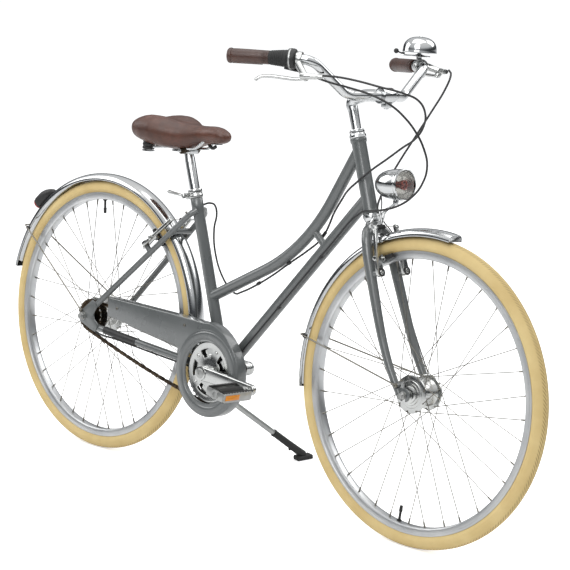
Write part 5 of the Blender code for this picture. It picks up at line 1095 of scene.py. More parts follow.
def chainring():
    """A pressed disc with five kidney-shaped windows, and its forty teeth."""
    pitch = RING_TEETH * PITCH / TURN
    face = beside((0, -CHAIN_LINE, 0))
    disc = lathe([(0.018, -0.0011), (0.0425, -0.0011), (0.044, -0.0018), (0.061, -0.0018),
            (0.0625, -0.0011), (pitch - 0.004, -0.0011), (pitch - 0.004, 0.0011), (0.0625, 0.0011),
            (0.061, 0.0004), (0.044, 0.0004), (0.0425, 0.0011), (0.018, 0.0011)], face, 96, closed=True)
    for number in range(5):
        carve(disc, window(-3 + 72 * number, 0.06, 24, 0.033, 20, 0.012, face))
    shape = merge(disc, *toothed(pitch, RING_TEETH))
    shape.matrix_world = move(BRACKET) @ shape.matrix_world
    settle(shape, "chainring_disc", "crank", POLISHED, ("chainring",), 25)


def crank_outline():
    """Two rounded ends of different size, joined by straight edges."""
    lean = acos(0.005 / CRANK_LENGTH)
    return spread((0, 0), 0.0175, lean, TURN - lean, 20) + spread((CRANK_LENGTH, 0), 0.0125, -lean, lean,
            14)


def crank_end(side):
    """The crank's angle and its pedal hole as (angle, x, z)."""
    angle = CRANK_ANGLE + (0 if side < 0 else pi)
    return angle, *polar((BRACKET.x, BRACKET.z), CRANK_LENGTH, angle)


def cover_disc():
    """The bright pressed disc beside the chainring, with five kidney-shaped windows and its bolts."""
    face = beside((0.46, -0.052, 0.284))
    disc = lathe(mm((16, 4.2), (23, 4), (29, 1.8), (64, 1.4), (68, 2.6), (72.5, 2.6), (73.5, 1.4),
            (73.5, 0.2), (64, -0.2), (29, 0.2), (16, 2.4)), face, 112, closed=True)
    bolts = []
    for number in range(5):
        middle = -3 + 72 * (number + 0.5)
        carve(disc, window(middle, 0.058, 21, 0.037, 18, 0.02, face))
        bolts.append(bolt(face @ Matrix.Rotation(radians(middle - 36), 4, "Z") @ Vector((0.054, 0, 0.0012)),
                -ACROSS, 0.0045, 0.0024))
    return merge(disc, *bolts)


def crank(side, name, node):
    """A forged arm with rounded edges, its boss, its cap and the pedal's axle."""
    angle, x, z = crank_end(side)
    middle = BRACKET + ACROSS * side * 0.076
    turn = beside(middle) @ Matrix.Rotation(angle, 4, "Z")
    arm = soften(slab(crank_outline(), 0.013, turn), 0.0032, 3)
    eye = Vector((x, side * 0.0695, z))
    inner = 0.0485 if side < 0 else 0.0595
    pieces = [arm, soften(rod(BRACKET + ACROSS * side * inner, BRACKET + ACROSS * side * 0.0845, 0.0165,
            0.017, 48), 0.001), rod(eye + ACROSS * side * 0.002, eye + ACROSS * side * 0.018, 0.0068,
            sides=6), rod(eye + ACROSS * side * 0.004, eye + ACROSS * side * 0.119, 0.0045, sides=16)]
    if side < 0:
        pieces.append(cover_disc())
    settle(merge(*pieces), name, "crank", POLISHED, (node,), 30)
    cap = lathe(mm((0, 3), (9, 2.6), (11.8, 1.4), (12.4, 0), (0, 0)), facing(ACROSS * side,
            BRACKET + ACROSS * side * 0.0845), 40)
    carve(cap, rod(BRACKET + ACROSS * side * 0.086, BRACKET + ACROSS * side * 0.09, 0.004, sides=6))
    settle(cap, name + "_cap", "crank", SATIN, (), 30)


def pedal(side, word):
    """An alloy cage round a barrel, black grip strips on its edges and an amber reflector in each face."""
    _, x, z = crank_end(side)
    turn = move((x, side * 0.149, z)) @ Matrix.Rotation(radians(10), 4, "Y")
    body = "pedal_" + word
    cage = []
    for along in (-1, 1):
        plate = mm((-46, -8.5), (-40, -11.5), (40, -11.5), (46, -8.5), (46, 8.5), (40, 11.5))
        for step in range(8, -9, -2):
            plate += [(step * 0.0045 + 0.0022, 0.0118), (step * 0.0045, 0.01)]
        plate += [(-0.04, 0.0115), (-0.046, 0.0085)]
        upright = turn @ axes(ACROSS, UP, Vector((1, 0, 0)), Vector((along * 0.028, 0, 0)))
        cage.append(soften(slab(plate, 0.0024, upright), 0.0005))
        cage.append(soften(block((0.056, 0.003, 0.02), turn @ move((0, along * 0.0455, 0))), 0.001))
        cage.append(soften(block((0.056, 0.006, 0.005), turn @ move((0, along * 0.018, 0))), 0.0012))
    barrel = lathe(mm((5.2, -54.5), (10, -54.5), (11.5, -52), (11.5, -43), (9.8, -40), (9.4, 0), (9.8, 40),
            (11.2, 43), (11.2, 49), (5.2, 49)), turn @ facing(ACROSS * side, Vector()), 32, closed=True)
    settle(merge(*cage, barrel), body + "_cage", body, SATIN, (body,), 30)
    strips = []
    for along in (-1, 1):
        for high in (-1, 1):
            strips.append(soften(block((0.0075, 0.088, 0.003), turn @ move((along * 0.024, 0,
                    high * 0.0107))), 0.0009))
    barrel_cover = lathe(mm((9.5, -39), (11.8, -38), (12.8, 0), (11.8, 38), (9.5, 39)),
            turn @ facing(ACROSS * side, Vector()), 32, closed=True)
    settle(merge(*strips, barrel_cover), body + "_rubbers", body, RUBBER, (), 30)
    lamps = [soften(block((0.0034, 0.044, 0.0125), turn @ move((along * 0.0292, side * 0.017, 0))),
            0.0008) for along in (-1, 1)]
    settle(merge(*lamps), body + "_reflectors", body, AMBER_LENS, (), 30)


def rear_drive():
    """The sprocket on its driver, and the cable joint that turns the gear's rod."""
    pitch = COG_TEETH * PITCH / TURN
    disc = lathe([(0.015, 0.044), (pitch - 0.004, 0.044), (pitch - 0.004, 0.046), (0.015, 0.046)], SIDE, 64,
            closed=True)
    driver = lathe(mm((5.6, 39), (16.5, 39), (17.5, 40), (17.5, 49.5), (16.5, 50.4), (5.6, 50.4)), SIDE, 48,
            closed=True)
    shape = merge(disc, driver, *toothed(pitch, COG_TEETH))
    shape.matrix_world = move(REAR) @ shape.matrix_world
    settle(shape, "sprocket", "rear_sprocket", OILED, ("rear_sprocket",), 25)
    joint = lathe(mm((5.6, 51.1), (19.2, 51.1), (20.4, 52.2), (20.4, 56), (19, 57.2), (19, 60), (20, 61.2),
            (19.4, 64.4), (5.6, 64.4)), beside(REAR), 48, closed=True)
    arm = soften(block((0.012, 0.0075, 0.026), move(REAR + Vector((0.013, -0.058,
            -0.019))) @ Matrix.Rotation(radians(-35), 4, "Y")), 0.002)
    settle(merge(joint, arm), "gear_cable_joint", "frame", ABS, ("shift_cassette",), 30)
    mark = soften(rod(REAR + Vector((0.0185, -0.0622, -0.015)), REAR + Vector((0.0185, -0.064, -0.015)),
            0.004, sides=24), 0.0005)
    settle(mark, "cable_joint_button", "frame", RED_LENS, (), 30)


def axle(name, at, body, node, outer, end, radius, cone):
    """The threaded axle with its flanged nuts, washers and lock rings."""
    pieces = [rod(at - ACROSS * end, at + ACROSS * end, 0.0049, sides=24)]
    for side in (-1, 1):
        face = at + ACROSS * side * (outer + 0.0003)
        pieces.append(rod(face, face + ACROSS * side * 0.0014, radius * 1.12, sides=32))
        pieces.append(soften(rod(face + ACROSS * side * 0.0014, face + ACROSS * side * 0.0086, radius,
                sides=6), 0.0008))
        pieces.append(lathe([(0.005, 0.008), (radius * 0.8, 0.008), (radius * 0.74, 0.011),
                (0.0062, 0.0135), (0.005, 0.0135)], facing(ACROSS * side, face), 24, closed=True))
        for number in range(4):
            ring = face + ACROSS * side * (0.0138 + 0.0015 * number)
            if (ring - at).length < end - 0.001:
                pieces.append(rod(ring, ring + ACROSS * side * 0.0006, 0.0052, sides=16))
        if side in cone:
            pieces.append(soften(rod(at + ACROSS * side * cone[side], at + ACROSS * side * (outer - 0.0053),
                    0.0092, sides=6), 0.0005))
    settle(merge(*pieces), name, body, SATIN, (node,), 25)


chain_guard()
chainring()
crank(-1, "right_crank", "crank_right")
crank(1, "left_crank", "crank_left")
pedal(-1, "right")
pedal(1, "left")
rear_drive()
axle("rear_axle_nuts", REAR, "frame", "rear_axle", 0.07, 0.084, 0.0092, {1: 0.039})
axle("front_axle_nuts", FRONT, "fork", "front_axle", 0.055, 0.068, 0.0083, {-1: 0.0408, 1: 0.0408})
settle(lathe(mm((8.6, 37.2), (17, 37.2), (20, 36.8), (20, 34.4), (16.8, 34.4), (16.8, -36), (8.6, -36)),
        beside(BRACKET), 40, closed=True), "bracket_cartridge", "frame", OILED,
        ("bottom_bracket_cartridge",), 30)


# Mudguard stays, lamp and clips

# Where each stay crosses its mudguard, counted from straight ahead
REAR_STAY_DEGREES = 148
FRONT_STAY_DEGREES = 168.3


def guard_stay(name, body, centre, degrees, eye, node):
    """One bent wire over the mudguard's edges, flattened to an eye at each end, with its small bolts."""
    angle = radians(degrees)
    edge = polar((centre.x, centre.z), 0.357, angle)
    over = polar((centre.x, centre.z), 0.3692, angle)
    corner = Vector((edge[0], 0.0255, edge[1]))
    top = Vector((over[0], 0.0255, over[1]))
    points = [eye, corner, top, side_point(top, -1), side_point(corner, -1), side_point(eye, -1)]
    pieces = [pipe(rounded(points, [0.03, 0.004, 0.004, 0.03], 8), 0.0019, sides=12, straight=True)]
    for side in (-1, 1):
        at = side_point(eye, side)
        pieces.append(soften(rod(at - ACROSS * side * 0.0022, at + ACROSS * side * 0.0022, 0.0052,
                sides=24), 0.0006))
        pieces.append(bolt(at + ACROSS * side * 0.0022, ACROSS * side, 0.0038, 0.0026))
    settle(merge(*pieces), name, body, STAINLESS, (node,), 30)


def stay_clips():
    """Black clips where the wires cross the mudguards' edges."""
    for body, centre, degrees in (("frame", REAR_GUARD_CENTRE, REAR_STAY_DEGREES),
            ("fork", FRONT_GUARD_CENTRE, FRONT_STAY_DEGREES)):
        made = []
        for side in (-1, 1):
            x, z = polar((centre.x, centre.z), 0.3545, radians(degrees))
            out = Vector((cos(radians(degrees)), 0, sin(radians(degrees))))
            made.append(soften(block((0.011, 0.0052, 0.0085), axes(out, ACROSS, out.cross(ACROSS),
                    Vector((x, side * 0.0246, z)))), 0.0012))
        settle(merge(*made), body + "_stay_clips", body, ABS, (), 30)


def rear_lamp():
    """A streamlined black housing on the mudguard with a red lens at its rear end."""
    angle = radians(133.5)
    out = Vector((cos(angle), 0, sin(angle)))
    tangent = Vector((-out.z, 0, out.x))
    seat = REAR_GUARD_CENTRE + out * 0.3673
    matrix = axes(tangent, -ACROSS, out, seat)
    stations = mm((-40, 4, 3), (-36, 8, 6.2), (-28, 11.8, 9.5), (-14, 15, 13.6), (0, 16.5, 16),
            (18, 16.8, 16.8), (30, 16.6, 16.8), (32, 16, 16.2))
    rings = []
    for x, half, high in stations:
        points = []
        for step in range(24):
            turn = TURN * step / 24
            y = half * cos(turn)
            z = high + high * sin(turn) if sin(turn) > 0 else high * (1 - abs(sin(turn)) ** 0.5)
            points.append(matrix @ Vector((x, y, z + 0.0004)))
        rings.append(points)
    settle(loft(rings), "rear_lamp_housing", "frame", ABS, ("rear_light_housing",), 50)
    lens = lathe(mm((0, 11), (6, 10.4), (10.5, 8.8), (14, 6), (16, 2.6), (16.4, 0), (0, 0)),
            matrix @ move((0.0324, 0, 0.0168)) @ Matrix.Rotation(pi / 2, 4, "Y"), 40)
    settle(lens, "rear_lamp_lens", "frame", RED_LENS, ("rear_light_lens",), 40)


guard_stay("rear_stay_wire", "frame", REAR_GUARD_CENTRE, REAR_STAY_DEGREES,
        Vector((-0.0078, 0.0733, 0.3615)), "rear_fender_stay")
guard_stay("front_stay_wire", "fork", FRONT_GUARD_CENTRE, FRONT_STAY_DEGREES, Vector((1.06, 0.0655, 0.368)),
        "front_fender_stay")
stay_clips()
rear_lamp()


# Handlebar and what it carries

BAR_MIDDLE = Vector((0.9, 0, 0.9915))
BAR_LOW = Vector((0.87, 0.093, 0.987))
BAR_END = Vector((0.681, 0.279, 1.055))
BAR_RUN = Vector((0.162, -0.085, 0.005)).normalized()
BAR_CORNER = BAR_END + BAR_RUN * 0.189
BAR_OUT = Vector((-BAR_RUN.y, BAR_RUN.x, 0)).normalized()


def on_bar(along, out=0.0, down=0.0, side=1):
    return side_point(BAR_END + BAR_RUN * along + BAR_OUT * out - UP * down, side)


def bar_frame(side):
    return facing(side_point(BAR_RUN, side), side_point(BAR_END, side))


def bars():
    half = [BAR_MIDDLE + ACROSS * 0.03, BAR_LOW, BAR_CORNER, BAR_END]
    points = [side_point(point, -1) for point in reversed(half)] + half
    path = rounded(points, [0.04, 0.05, 0.06, 0.06, 0.05, 0.04], 12)
    sleeve = lathe(mm((10.5, -23), (12.2, -22.6), (12.7, -20.5), (12.7, 20.5), (12.2, 22.6), (10.5, 23)),
            beside(BAR_MIDDLE), 40, closed=True)
    settle(merge(pipe(path, 0.0111, sides=24, straight=True), sleeve), "swept_bar", "fork", CHROME,
            ("handlebar",), 40)


def stem():
    """The quill, its forward bend and the barrel that clamps the bar."""
    path = [on_steer(0.545), on_steer(0.591), on_steer(0.6153), on_steer(0.655), Vector((0.803, 0, 0.967)),
            Vector((0.83, 0, 0.984)), Vector((0.884, 0, 0.9905))]
    quill = pipe(path, 0.011, [1, 1, 1, 1.06, 1.24, 1.3, 1.3], sides=28, resolution=8)
    barrel = soften(lathe(mm((13.1, -19), (18.2, -19), (18.6, -18), (18.6, 18), (18.2, 19), (13.1, 19)),
            beside(BAR_MIDDLE), 48, closed=True), 0.0004)
    lug = soften(block((0.015, 0.022, 0.016), move(BAR_MIDDLE + Vector((0.006, 0, -0.0185)))), 0.002)
    screw = bolt(BAR_MIDDLE + Vector((0.006, 0, -0.0262)), -UP, 0.0058, 0.0035)
    cap = lathe(mm((0, 5.5), (6, 4.8), (9.2, 2.2), (9.8, 0), (0, 0)), facing(STEER_UP,
            on_steer(0.668) + STEER_FORWARD * -0.003), 32)
    settle(merge(quill, barrel, lug, screw, cap), "stem_quill", "fork", CHROME, ("stem",),
            40)


def grip(side, name, node, length):
    """A stitched sleeve: a rolled end, rings pressed near the inner end and a flange at the end cap."""
    profile = [(0, -0.0044), (0.008, -0.0043), (0.014, -0.0032), (0.0166, -0.0004), (0.0172, 0.0028),
            (0.0168, 0.0056), (0.0156, 0.0066), (0.0158, 0.008), (0.0161, 0.01), (0.0161, length * 0.35),
            (0.0157, length * 0.7)]
    for number in range(4):
        at = length - 0.0135 + number * 0.003
        profile += [(0.0154, at), (0.0148, at + 0.0006), (0.0148, at + 0.0012), (0.0154, at + 0.0018)]
    profile += [(0.0153, length - 0.001), (0.0149, length), (0.0117, length), (0.0117, 0.002), (0, 0.002)]
    seam = pipe([on_bar(along, side=side) - UP * 0.0162 for along in (0.008, length * 0.4, length * 0.7,
            length - 0.014)], 0.0006, sides=6)
    settle(merge(lathe(profile, bar_frame(side), 56), seam), name, "fork", GRIP_HIDE,
            (node,), 30)


def shifter():
    """The ribbed turning grip, and the housing with its clamp and cable guide."""
    rings = mm((11.7, 92.3), (14.8, 92.3), (15.4, 93.5))
    for number in range(7):
        at = 0.0965 + number * 0.0042
        swell = 0.0157 + 0.0024 * number / 6
        rings += [(swell, at), (swell + 0.0006, at + 0.001), (swell + 0.0006, at + 0.0024),
                (swell, at + 0.0034)]
    rings += mm((18.6, 127), (19, 129), (19, 133.5), (18.4, 135), (11.7, 135))
    settle(lathe(rings, bar_frame(-1), 48, closed=True), "twist_grip", "shifter_grip", RUBBER,
            ("shifter_grip",), 25)
    housing = lathe(mm((11.7, 135.3), (20.6, 135.3), (22.2, 136.5), (22.8, 138.5), (22.8, 148),
            (21.6, 151.2), (19.6, 152.8), (11.7, 152.8)), bar_frame(-1), 56, closed=True)
    guide = rod(Vector((0.786, -0.2105, 1.0395)), Vector((0.812, -0.1985, 1.0345)), 0.0048, 0.0036,
            sides=20)
    settle(merge(housing, guide), "twist_housing", "fork", ABS, ("shifter_housing",), 30)
    band = lathe(mm((15, 139.5), (23.1, 139.5), (23.3, 140.5), (23.3, 141.9), (23.1, 142.9), (15, 142.9)),
            bar_frame(-1), 56, closed=True)
    settle(band, "gear_display_band", "fork", SATIN, (), 30)


LEVER_PLACE = {-1: (0.016, 0.039), 1: (0.036, 0.018)}


def lever_frame(side):
    """The lever's pin, its axis and the direction from the bar to the lever."""
    out, down = LEVER_PLACE[side]
    pivot = on_bar(0.182, out, down, side)
    away = side_point(BAR_OUT, side) * out - UP * down
    run = side_point(BAR_RUN, side)
    away = (away - run * away.dot(run)).normalized()
    return pivot, run.cross(away).normalized(), away


def brake_lever(side, word):
    """The clamp, the arm to the pin, the cable's adjuster and the blade with its curled end."""
    pivot, axis, away = lever_frame(side)
    run = side_point(BAR_RUN, side)
    bar_end = side_point(BAR_END, side)
    across = axis * side
    clamp = lathe(mm((11.7, 153.4), (16, 153.4), (16.6, 154.5), (16.6, 165.8), (16, 166.9), (11.7, 166.9)),
            bar_frame(side), 40, closed=True)
    root = bar_end + run * 0.1604 + away * 0.0125 + across * 0.007
    near = pivot + across * 0.0038
    cheek = near + across * 0.0064
    arm = rod(root, cheek, 0.0085, 0.0072, sides=32)
    body = soften(rod(cheek - run * 0.01, cheek + run * 0.03, 0.008, 0.0058, sides=32), 0.0016)
    boss = soften(rod(near, near + across * 0.007, 0.008, sides=32), 0.001)
    pin = bolt(pivot - across * 0.0042, -across, 0.0044, 0.0022)
    rings = [rod(cheek + run * (0.0295 + 0.0022 * n), cheek + run * (0.0308 + 0.0022 * n), 0.0052,
            sides=20) for n in range(4)]
    tip = rod(cheek + run * 0.028, cheek + run * 0.04, 0.0038, sides=20)
    screw = bolt(bar_end + run * 0.1602 - away * 0.0158 - across * 0.004, -away, 0.0036, 0.003)
    settle(merge(clamp, arm, boss, pin, body, *rings, tip, screw), word + "_lever_bracket", "fork",
            POLISHED, ("brake_bracket_" + word,), 30)
    far = (pivot - bar_end).dot(away)
    points = [pivot] + [bar_end + run * along + away * (far + off) for along,
            off in mm((168, 4), (130, 3), (96, 1), (78, 4), (70, 10))]
    blade = pipe(points, 0.0034, [1.0, 1.1, 1.2, 1.2, 1.1, 1.0], sides=20, resolution=8)
    eye = soften(rod(pivot - axis * 0.0034, pivot + axis * 0.0034, 0.0075, sides=32), 0.0009)
    knob = ball(points[-1], 0.0042, 20)
    settle(merge(blade, eye, knob), word + "_lever_blade", "brake_lever_" + word, POLISHED,
            ("brake_lever_" + word,), 40)


def bell():
    """A chromed dome with a rolled rim on its base, the nut on top and the clamp under it."""
    base = on_bar(0.146) + UP * 0.022
    thumb = Vector((-0.717, -0.697, 0))
    dome = lathe(mm((3.6, 46.2), (10, 45.8), (17.5, 44.4), (25, 41.5), (31, 37.2), (35.2, 32), (38, 26.2),
            (39.3, 20.5), (39.7, 16.5), (39.9, 13), (40.4, 11.4), (40.4, 10), (39.8, 9), (38.7, 9.4),
            (38.5, 16), (36.8, 25), (32.6, 33), (25, 39.2), (16, 43), (3.6, 44.4)), move(base), 72,
            closed=True)
    under = lathe(mm((0, 0.2), (25, 0.2), (26.2, 1.2), (25.5, 3), (12, 3.6), (5, 6), (4.2, 44), (4.2, 46.6),
            (3, 47.8), (0, 48)), move(base), 48)
    clamp = lathe(mm((11.7, 140), (14.8, 140), (15.2, 140.8), (15.2, 151.8), (14.8, 152.6), (11.7, 152.6)),
            bar_frame(1), 40, closed=True)
    neck = soften(block((0.012, 0.01, 0.014), axes(BAR_RUN, BAR_RUN.cross(UP) * -1, UP,
            on_bar(0.146) + UP * 0.0165)), 0.0015)
    lug = soften(block((0.024, 0.01, 0.003), axes(thumb, UP.cross(thumb), UP,
            base + thumb * 0.031 + UP * 0.0015)), 0.0008)
    pivot = base + thumb * 0.0385
    pin = rod(pivot + UP * 0.002, pivot + UP * 0.0081, 0.0019, sides=16)
    settle(merge(dome, under, clamp, neck, lug, pin), "bell_dome", "fork", CHROME, ("bell",), 35)
    low = pivot + UP * 0.0033
    eye = lathe(mm((2.3, 0), (4.5, 0), (4.5, 4.2), (2.3, 4.2)), move(low), 24, closed=True)
    tip = pivot + thumb * 0.016 + UP * 0.0095
    wire = rod(low + UP * 0.002 + thumb * 0.0035, tip, 0.0017, sides=12)
    settle(merge(eye, wire, ball(tip, 0.006)), "bell_thumb", "bell_lever", ABS,
            ("bell_lever",), 40)


bars()
stem()
grip(-1, "right_grip", "grip_right", 0.092)
grip(1, "left_grip", "grip_left", 0.124)
shifter()
brake_lever(-1, "right")
brake_lever(1, "left")
bell()


# Headlamp

def headlamp():
    """A chromed bullet with a rolled rim, a bright reflector with its bulb, and a clear domed lens."""
    rim = Vector((0.981, 0, 0.801))
    run = Vector((0.996, 0, 0.087)).normalized()
    matrix = facing(run, rim)
    shell = lathe(mm((33.4, 1), (34.8, 1.8), (36, 1), (36.4, -1.4), (36.2, -5.2), (35.2, -7), (34.6, -8.5),
            (35, -12), (35.1, -23), (34.2, -35), (32.2, -47), (29, -57.5), (24.6, -66.2), (19, -73),
            (12.5, -77.5), (6, -79.7), (0, -80.2), (0, -78.5), (12, -75.5), (23, -65), (30.5, -47),
            (33.4, -25), (33.6, -8)), matrix, 72)
    settle(shell, "lamp_shell", "fork", CHROME, ("headlight_shell",), 35)
    bowl = lathe(mm((33.3, -1), (31.8, -8.5), (28.5, -16), (23.5, -22.5), (17, -27.5), (10, -30.5),
            (5.2, -31.5), (5.2, -33), (11, -32.2), (25, -24.5), (33, -10), (33.4, -1)), matrix, 64)
    settle(bowl, "lamp_reflector", "fork", POLISHED, (), 60)
    bulb = lathe(mm((0, -3), (3, -4), (5, -7), (5.4, -15), (4.6, -20), (4, -30), (0, -30)), matrix, 32)
    hood = lathe(mm((8.5, -2.2), (11, -2.2), (11.2, -6), (7, -24), (5.5, -24), (8.8, -6)), matrix, 40,
            closed=True)
    settle(merge(bulb, hood), "lamp_bulb", "fork", LAMP_AMBER, (), 40)
    lens = lathe(mm((0, 4.6), (9, 4.3), (18, 3.4), (26, 2), (32, 0.4), (33.2, -0.4), (33.2, -1.8),
            (25.5, -0.2), (18, 1.4), (9, 2.4), (0, 2.7)), matrix, 72)
    settle(lens, "lamp_lens", "fork", CLEAR_LENS, ("headlight_lens",), 40)
    crown = on_steer(0.386, 0.0178)
    under = rim - run * 0.026 + ACROSS.cross(run) * 0.0353
    pieces = [soften(rod(crown, crown + STEER_FORWARD * 0.003, 0.0085, sides=32), 0.0006),
            bolt(crown + STEER_FORWARD * 0.003, STEER_FORWARD, 0.0052, 0.004),
            soften(rod(under - UP * 0.009, under + UP * 0.0006, 0.0065, sides=24), 0.0008)]
    for side in (-1, 1):
        off = ACROSS * side * 0.0042
        pieces.append(pipe([crown + STEER_FORWARD * 0.0018 + off * 0.8,
                crown + Vector((0.006, 0, 0.014)) + off, Vector((0.928, 0, 0.734)) + off,
                under - Vector((0.01, 0, 0.014)) + off, under - UP * 0.006 + off * 0.7], 0.0021, sides=12,
                resolution=8))
    settle(merge(*pieces), "lamp_bracket", "fork", CHROME, ("headlight_bracket",), 35)
    lead = pipe([rim - run * 0.069 - UP * 0.022, Vector((0.912, 0.006, 0.752)),
            Vector((0.907, 0.014, 0.722)), Vector((0.917, 0.052, 0.676)), Vector((0.94, 0.056, 0.606)),
            Vector((0.983, 0.06, 0.495)), Vector((1.033, 0.063, 0.4)), Vector((1.056, 0.056, 0.374))],
            0.0014, sides=8, resolution=8)
    settle(lead, "dynamo_lead", "fork", HOUSING, (), 60)


headlamp()


# Rim brakes

def shoe_place(pivot, arm_up, wheel, side):
    track = reach(pivot, pivot + arm_up * 0.06, wheel, 0.311)
    at = Vector((track.x, side * 0.019, track.z))
    out = Vector((at.x - wheel.x, 0, at.z - wheel.z)).normalized()
    return at, axes(ACROSS.cross(out), ACROSS, out, at)


def brake_arm(where, word, root, boss, arm_up, wheel, side):
    """A forged arm on its post, with the return spring, the shoe's stud and the black shoe."""
    body = "%s_brake_arm_%s" % (where, word)
    pivot = side_point(root, side) + boss * 0.025
    inward = ACROSS * -side
    local = axes(inward, arm_up, inward.cross(arm_up), pivot)
    outline = spread((0, 0), 0.0098, radians(195), radians(345), 14)
    outline += mm((9.4, 12), (8.8, 24), (8, 38), (8.2, 54), (9.4, 74), (12.2, 98), (12.6, 105), (10, 108.2),
            (5.5, 107.8), (3.4, 104), (1, 84), (-2.8, 58), (-5.2, 40), (-8, 22), (-9.2, 10))
    arm = soften(slab(outline, 0.0096, local), 0.0022, 3)
    at, shoe = shoe_place(pivot, arm_up, wheel, side)
    outer = Vector((at.x, pivot.y, at.z))
    pieces = [arm, rod(at, outer + ACROSS * side * 0.0105, 0.0032, sides=16),
            soften(rod(outer + ACROSS * side * 0.006, outer + ACROSS * side * 0.0105, 0.0062, sides=6),
            0.0005), lathe(mm((3.4, 0), (6.6, 0), (7.8, 2.2), (7.8, 4), (3.4, 4)),
            facing(ACROSS * side, at + ACROSS * side * 0.0046), 24, closed=True),
            bolt(pivot + boss * 0.0051, boss, 0.0062, 0.0034)]
    front = local @ Vector((0.008, 0.101, 0))
    pieces.append(bolt(front + boss * 0.0046, boss, 0.0042, 0.003))
    settle(merge(*pieces), body + "_forging", body, POLISHED, (body,), 30)
    wire = [local @ Vector(point) for point in mm((7.2, -8, 6.2), (-9.8, -6, 6.2), (-10, 8, 6),
            (-8.6, 30, 5.8), (-5.8, 48, 5.8), (-1, 60, 5.6))]
    settle(pipe(wire, 0.0009, sides=10, resolution=6), body + "_spring", body, STAINLESS,
            (), 60)
    cap = lathe(mm((6.6, 4.9), (9.4, 4.9), (10, 5.6), (10, 7), (9, 8), (6.6, 8)), facing(boss, pivot), 40,
            closed=True)
    settle(cap, body + "_spring_cap", body, ABS, (), 35)
    pad = soften(block((0.052, 0.0086, 0.0092), shoe), 0.0016, 2)
    for along in (-0.015, 0.0, 0.015):
        carve(pad, block((0.0016, 0.003, 0.012), shoe @ move((along, -side * 0.004, 0))))
    settle(pad, body + "_shoe", body, RUBBER, (), 30)
    return local


def bellows(begin, end, radius):
    """A ribbed rubber boot between two points."""
    length = (end - begin).length
    profile = [(0, 0), (radius * 0.7, 0)]
    for number in range(7):
        at = length * (number + 0.5) / 7.5
        profile += [(radius, at), (radius * 0.66, at + length / 15)]
    return lathe(profile + [(radius * 0.45, length), (0, length)], facing(end - begin, begin), 24)


def brakes():
    for where, root, boss, arm_up, wheel, cable_end, inner in (
            ("front", FRONT_PIVOT, FRONT_BOSS, FRONT_ARM_UP, FRONT, Vector((0.94, -0.037, 0.729)), -1),
            ("rear", REAR_PIVOT, REAR_BOSS, REAR_ARM_UP, REAR, Vector((0.292, 0.027, 0.662)), 1)):
        local = {}
        for side, word in ((-1, "right"), (1, "left")):
            local[side] = brake_arm(where, word, root, boss, arm_up, wheel, side)
        noodle_at = local[inner] @ Vector((0.008, 0.103, 0.0))
        clamp_at = local[-inner] @ Vector((0.008, 0.103, 0.0))
        body = "%s_brake_arm_%s" % (where, "left" if inner > 0 else "right")
        across = (clamp_at - noodle_at).normalized()
        start_at = cable_end + (cable_end - noodle_at) * 0.1
        bend = noodle_at - across * 0.015
        noodle = pipe([start_at, cable_end, (cable_end + bend) / 2 - across * 0.006 + UP * 0.003, bend,
                noodle_at - across * 0.004, noodle_at + across * 0.009], 0.0026, sides=14, resolution=8)
        ferrule = rod(start_at - (cable_end - start_at) * 0.6, cable_end, 0.0036, sides=16)
        settle(merge(noodle, ferrule), where + "_noodle", body, CHROME, (), 50)
        boot = bellows(noodle_at + across * 0.0085, noodle_at + across * 0.034, 0.0056)
        settle(boot, where + "_boot", body, RUBBER, (), 40)
        wire = pipe([noodle_at + across * 0.03, clamp_at, clamp_at + across * 0.006 - UP * 0.002,
                clamp_at + across * 0.015 - UP * 0.012], 0.0008, sides=8)
        settle(wire, where + "_inner_wire", body, STAINLESS, (), 60)


brakes()


# Seat post, saddle's underside and clamp

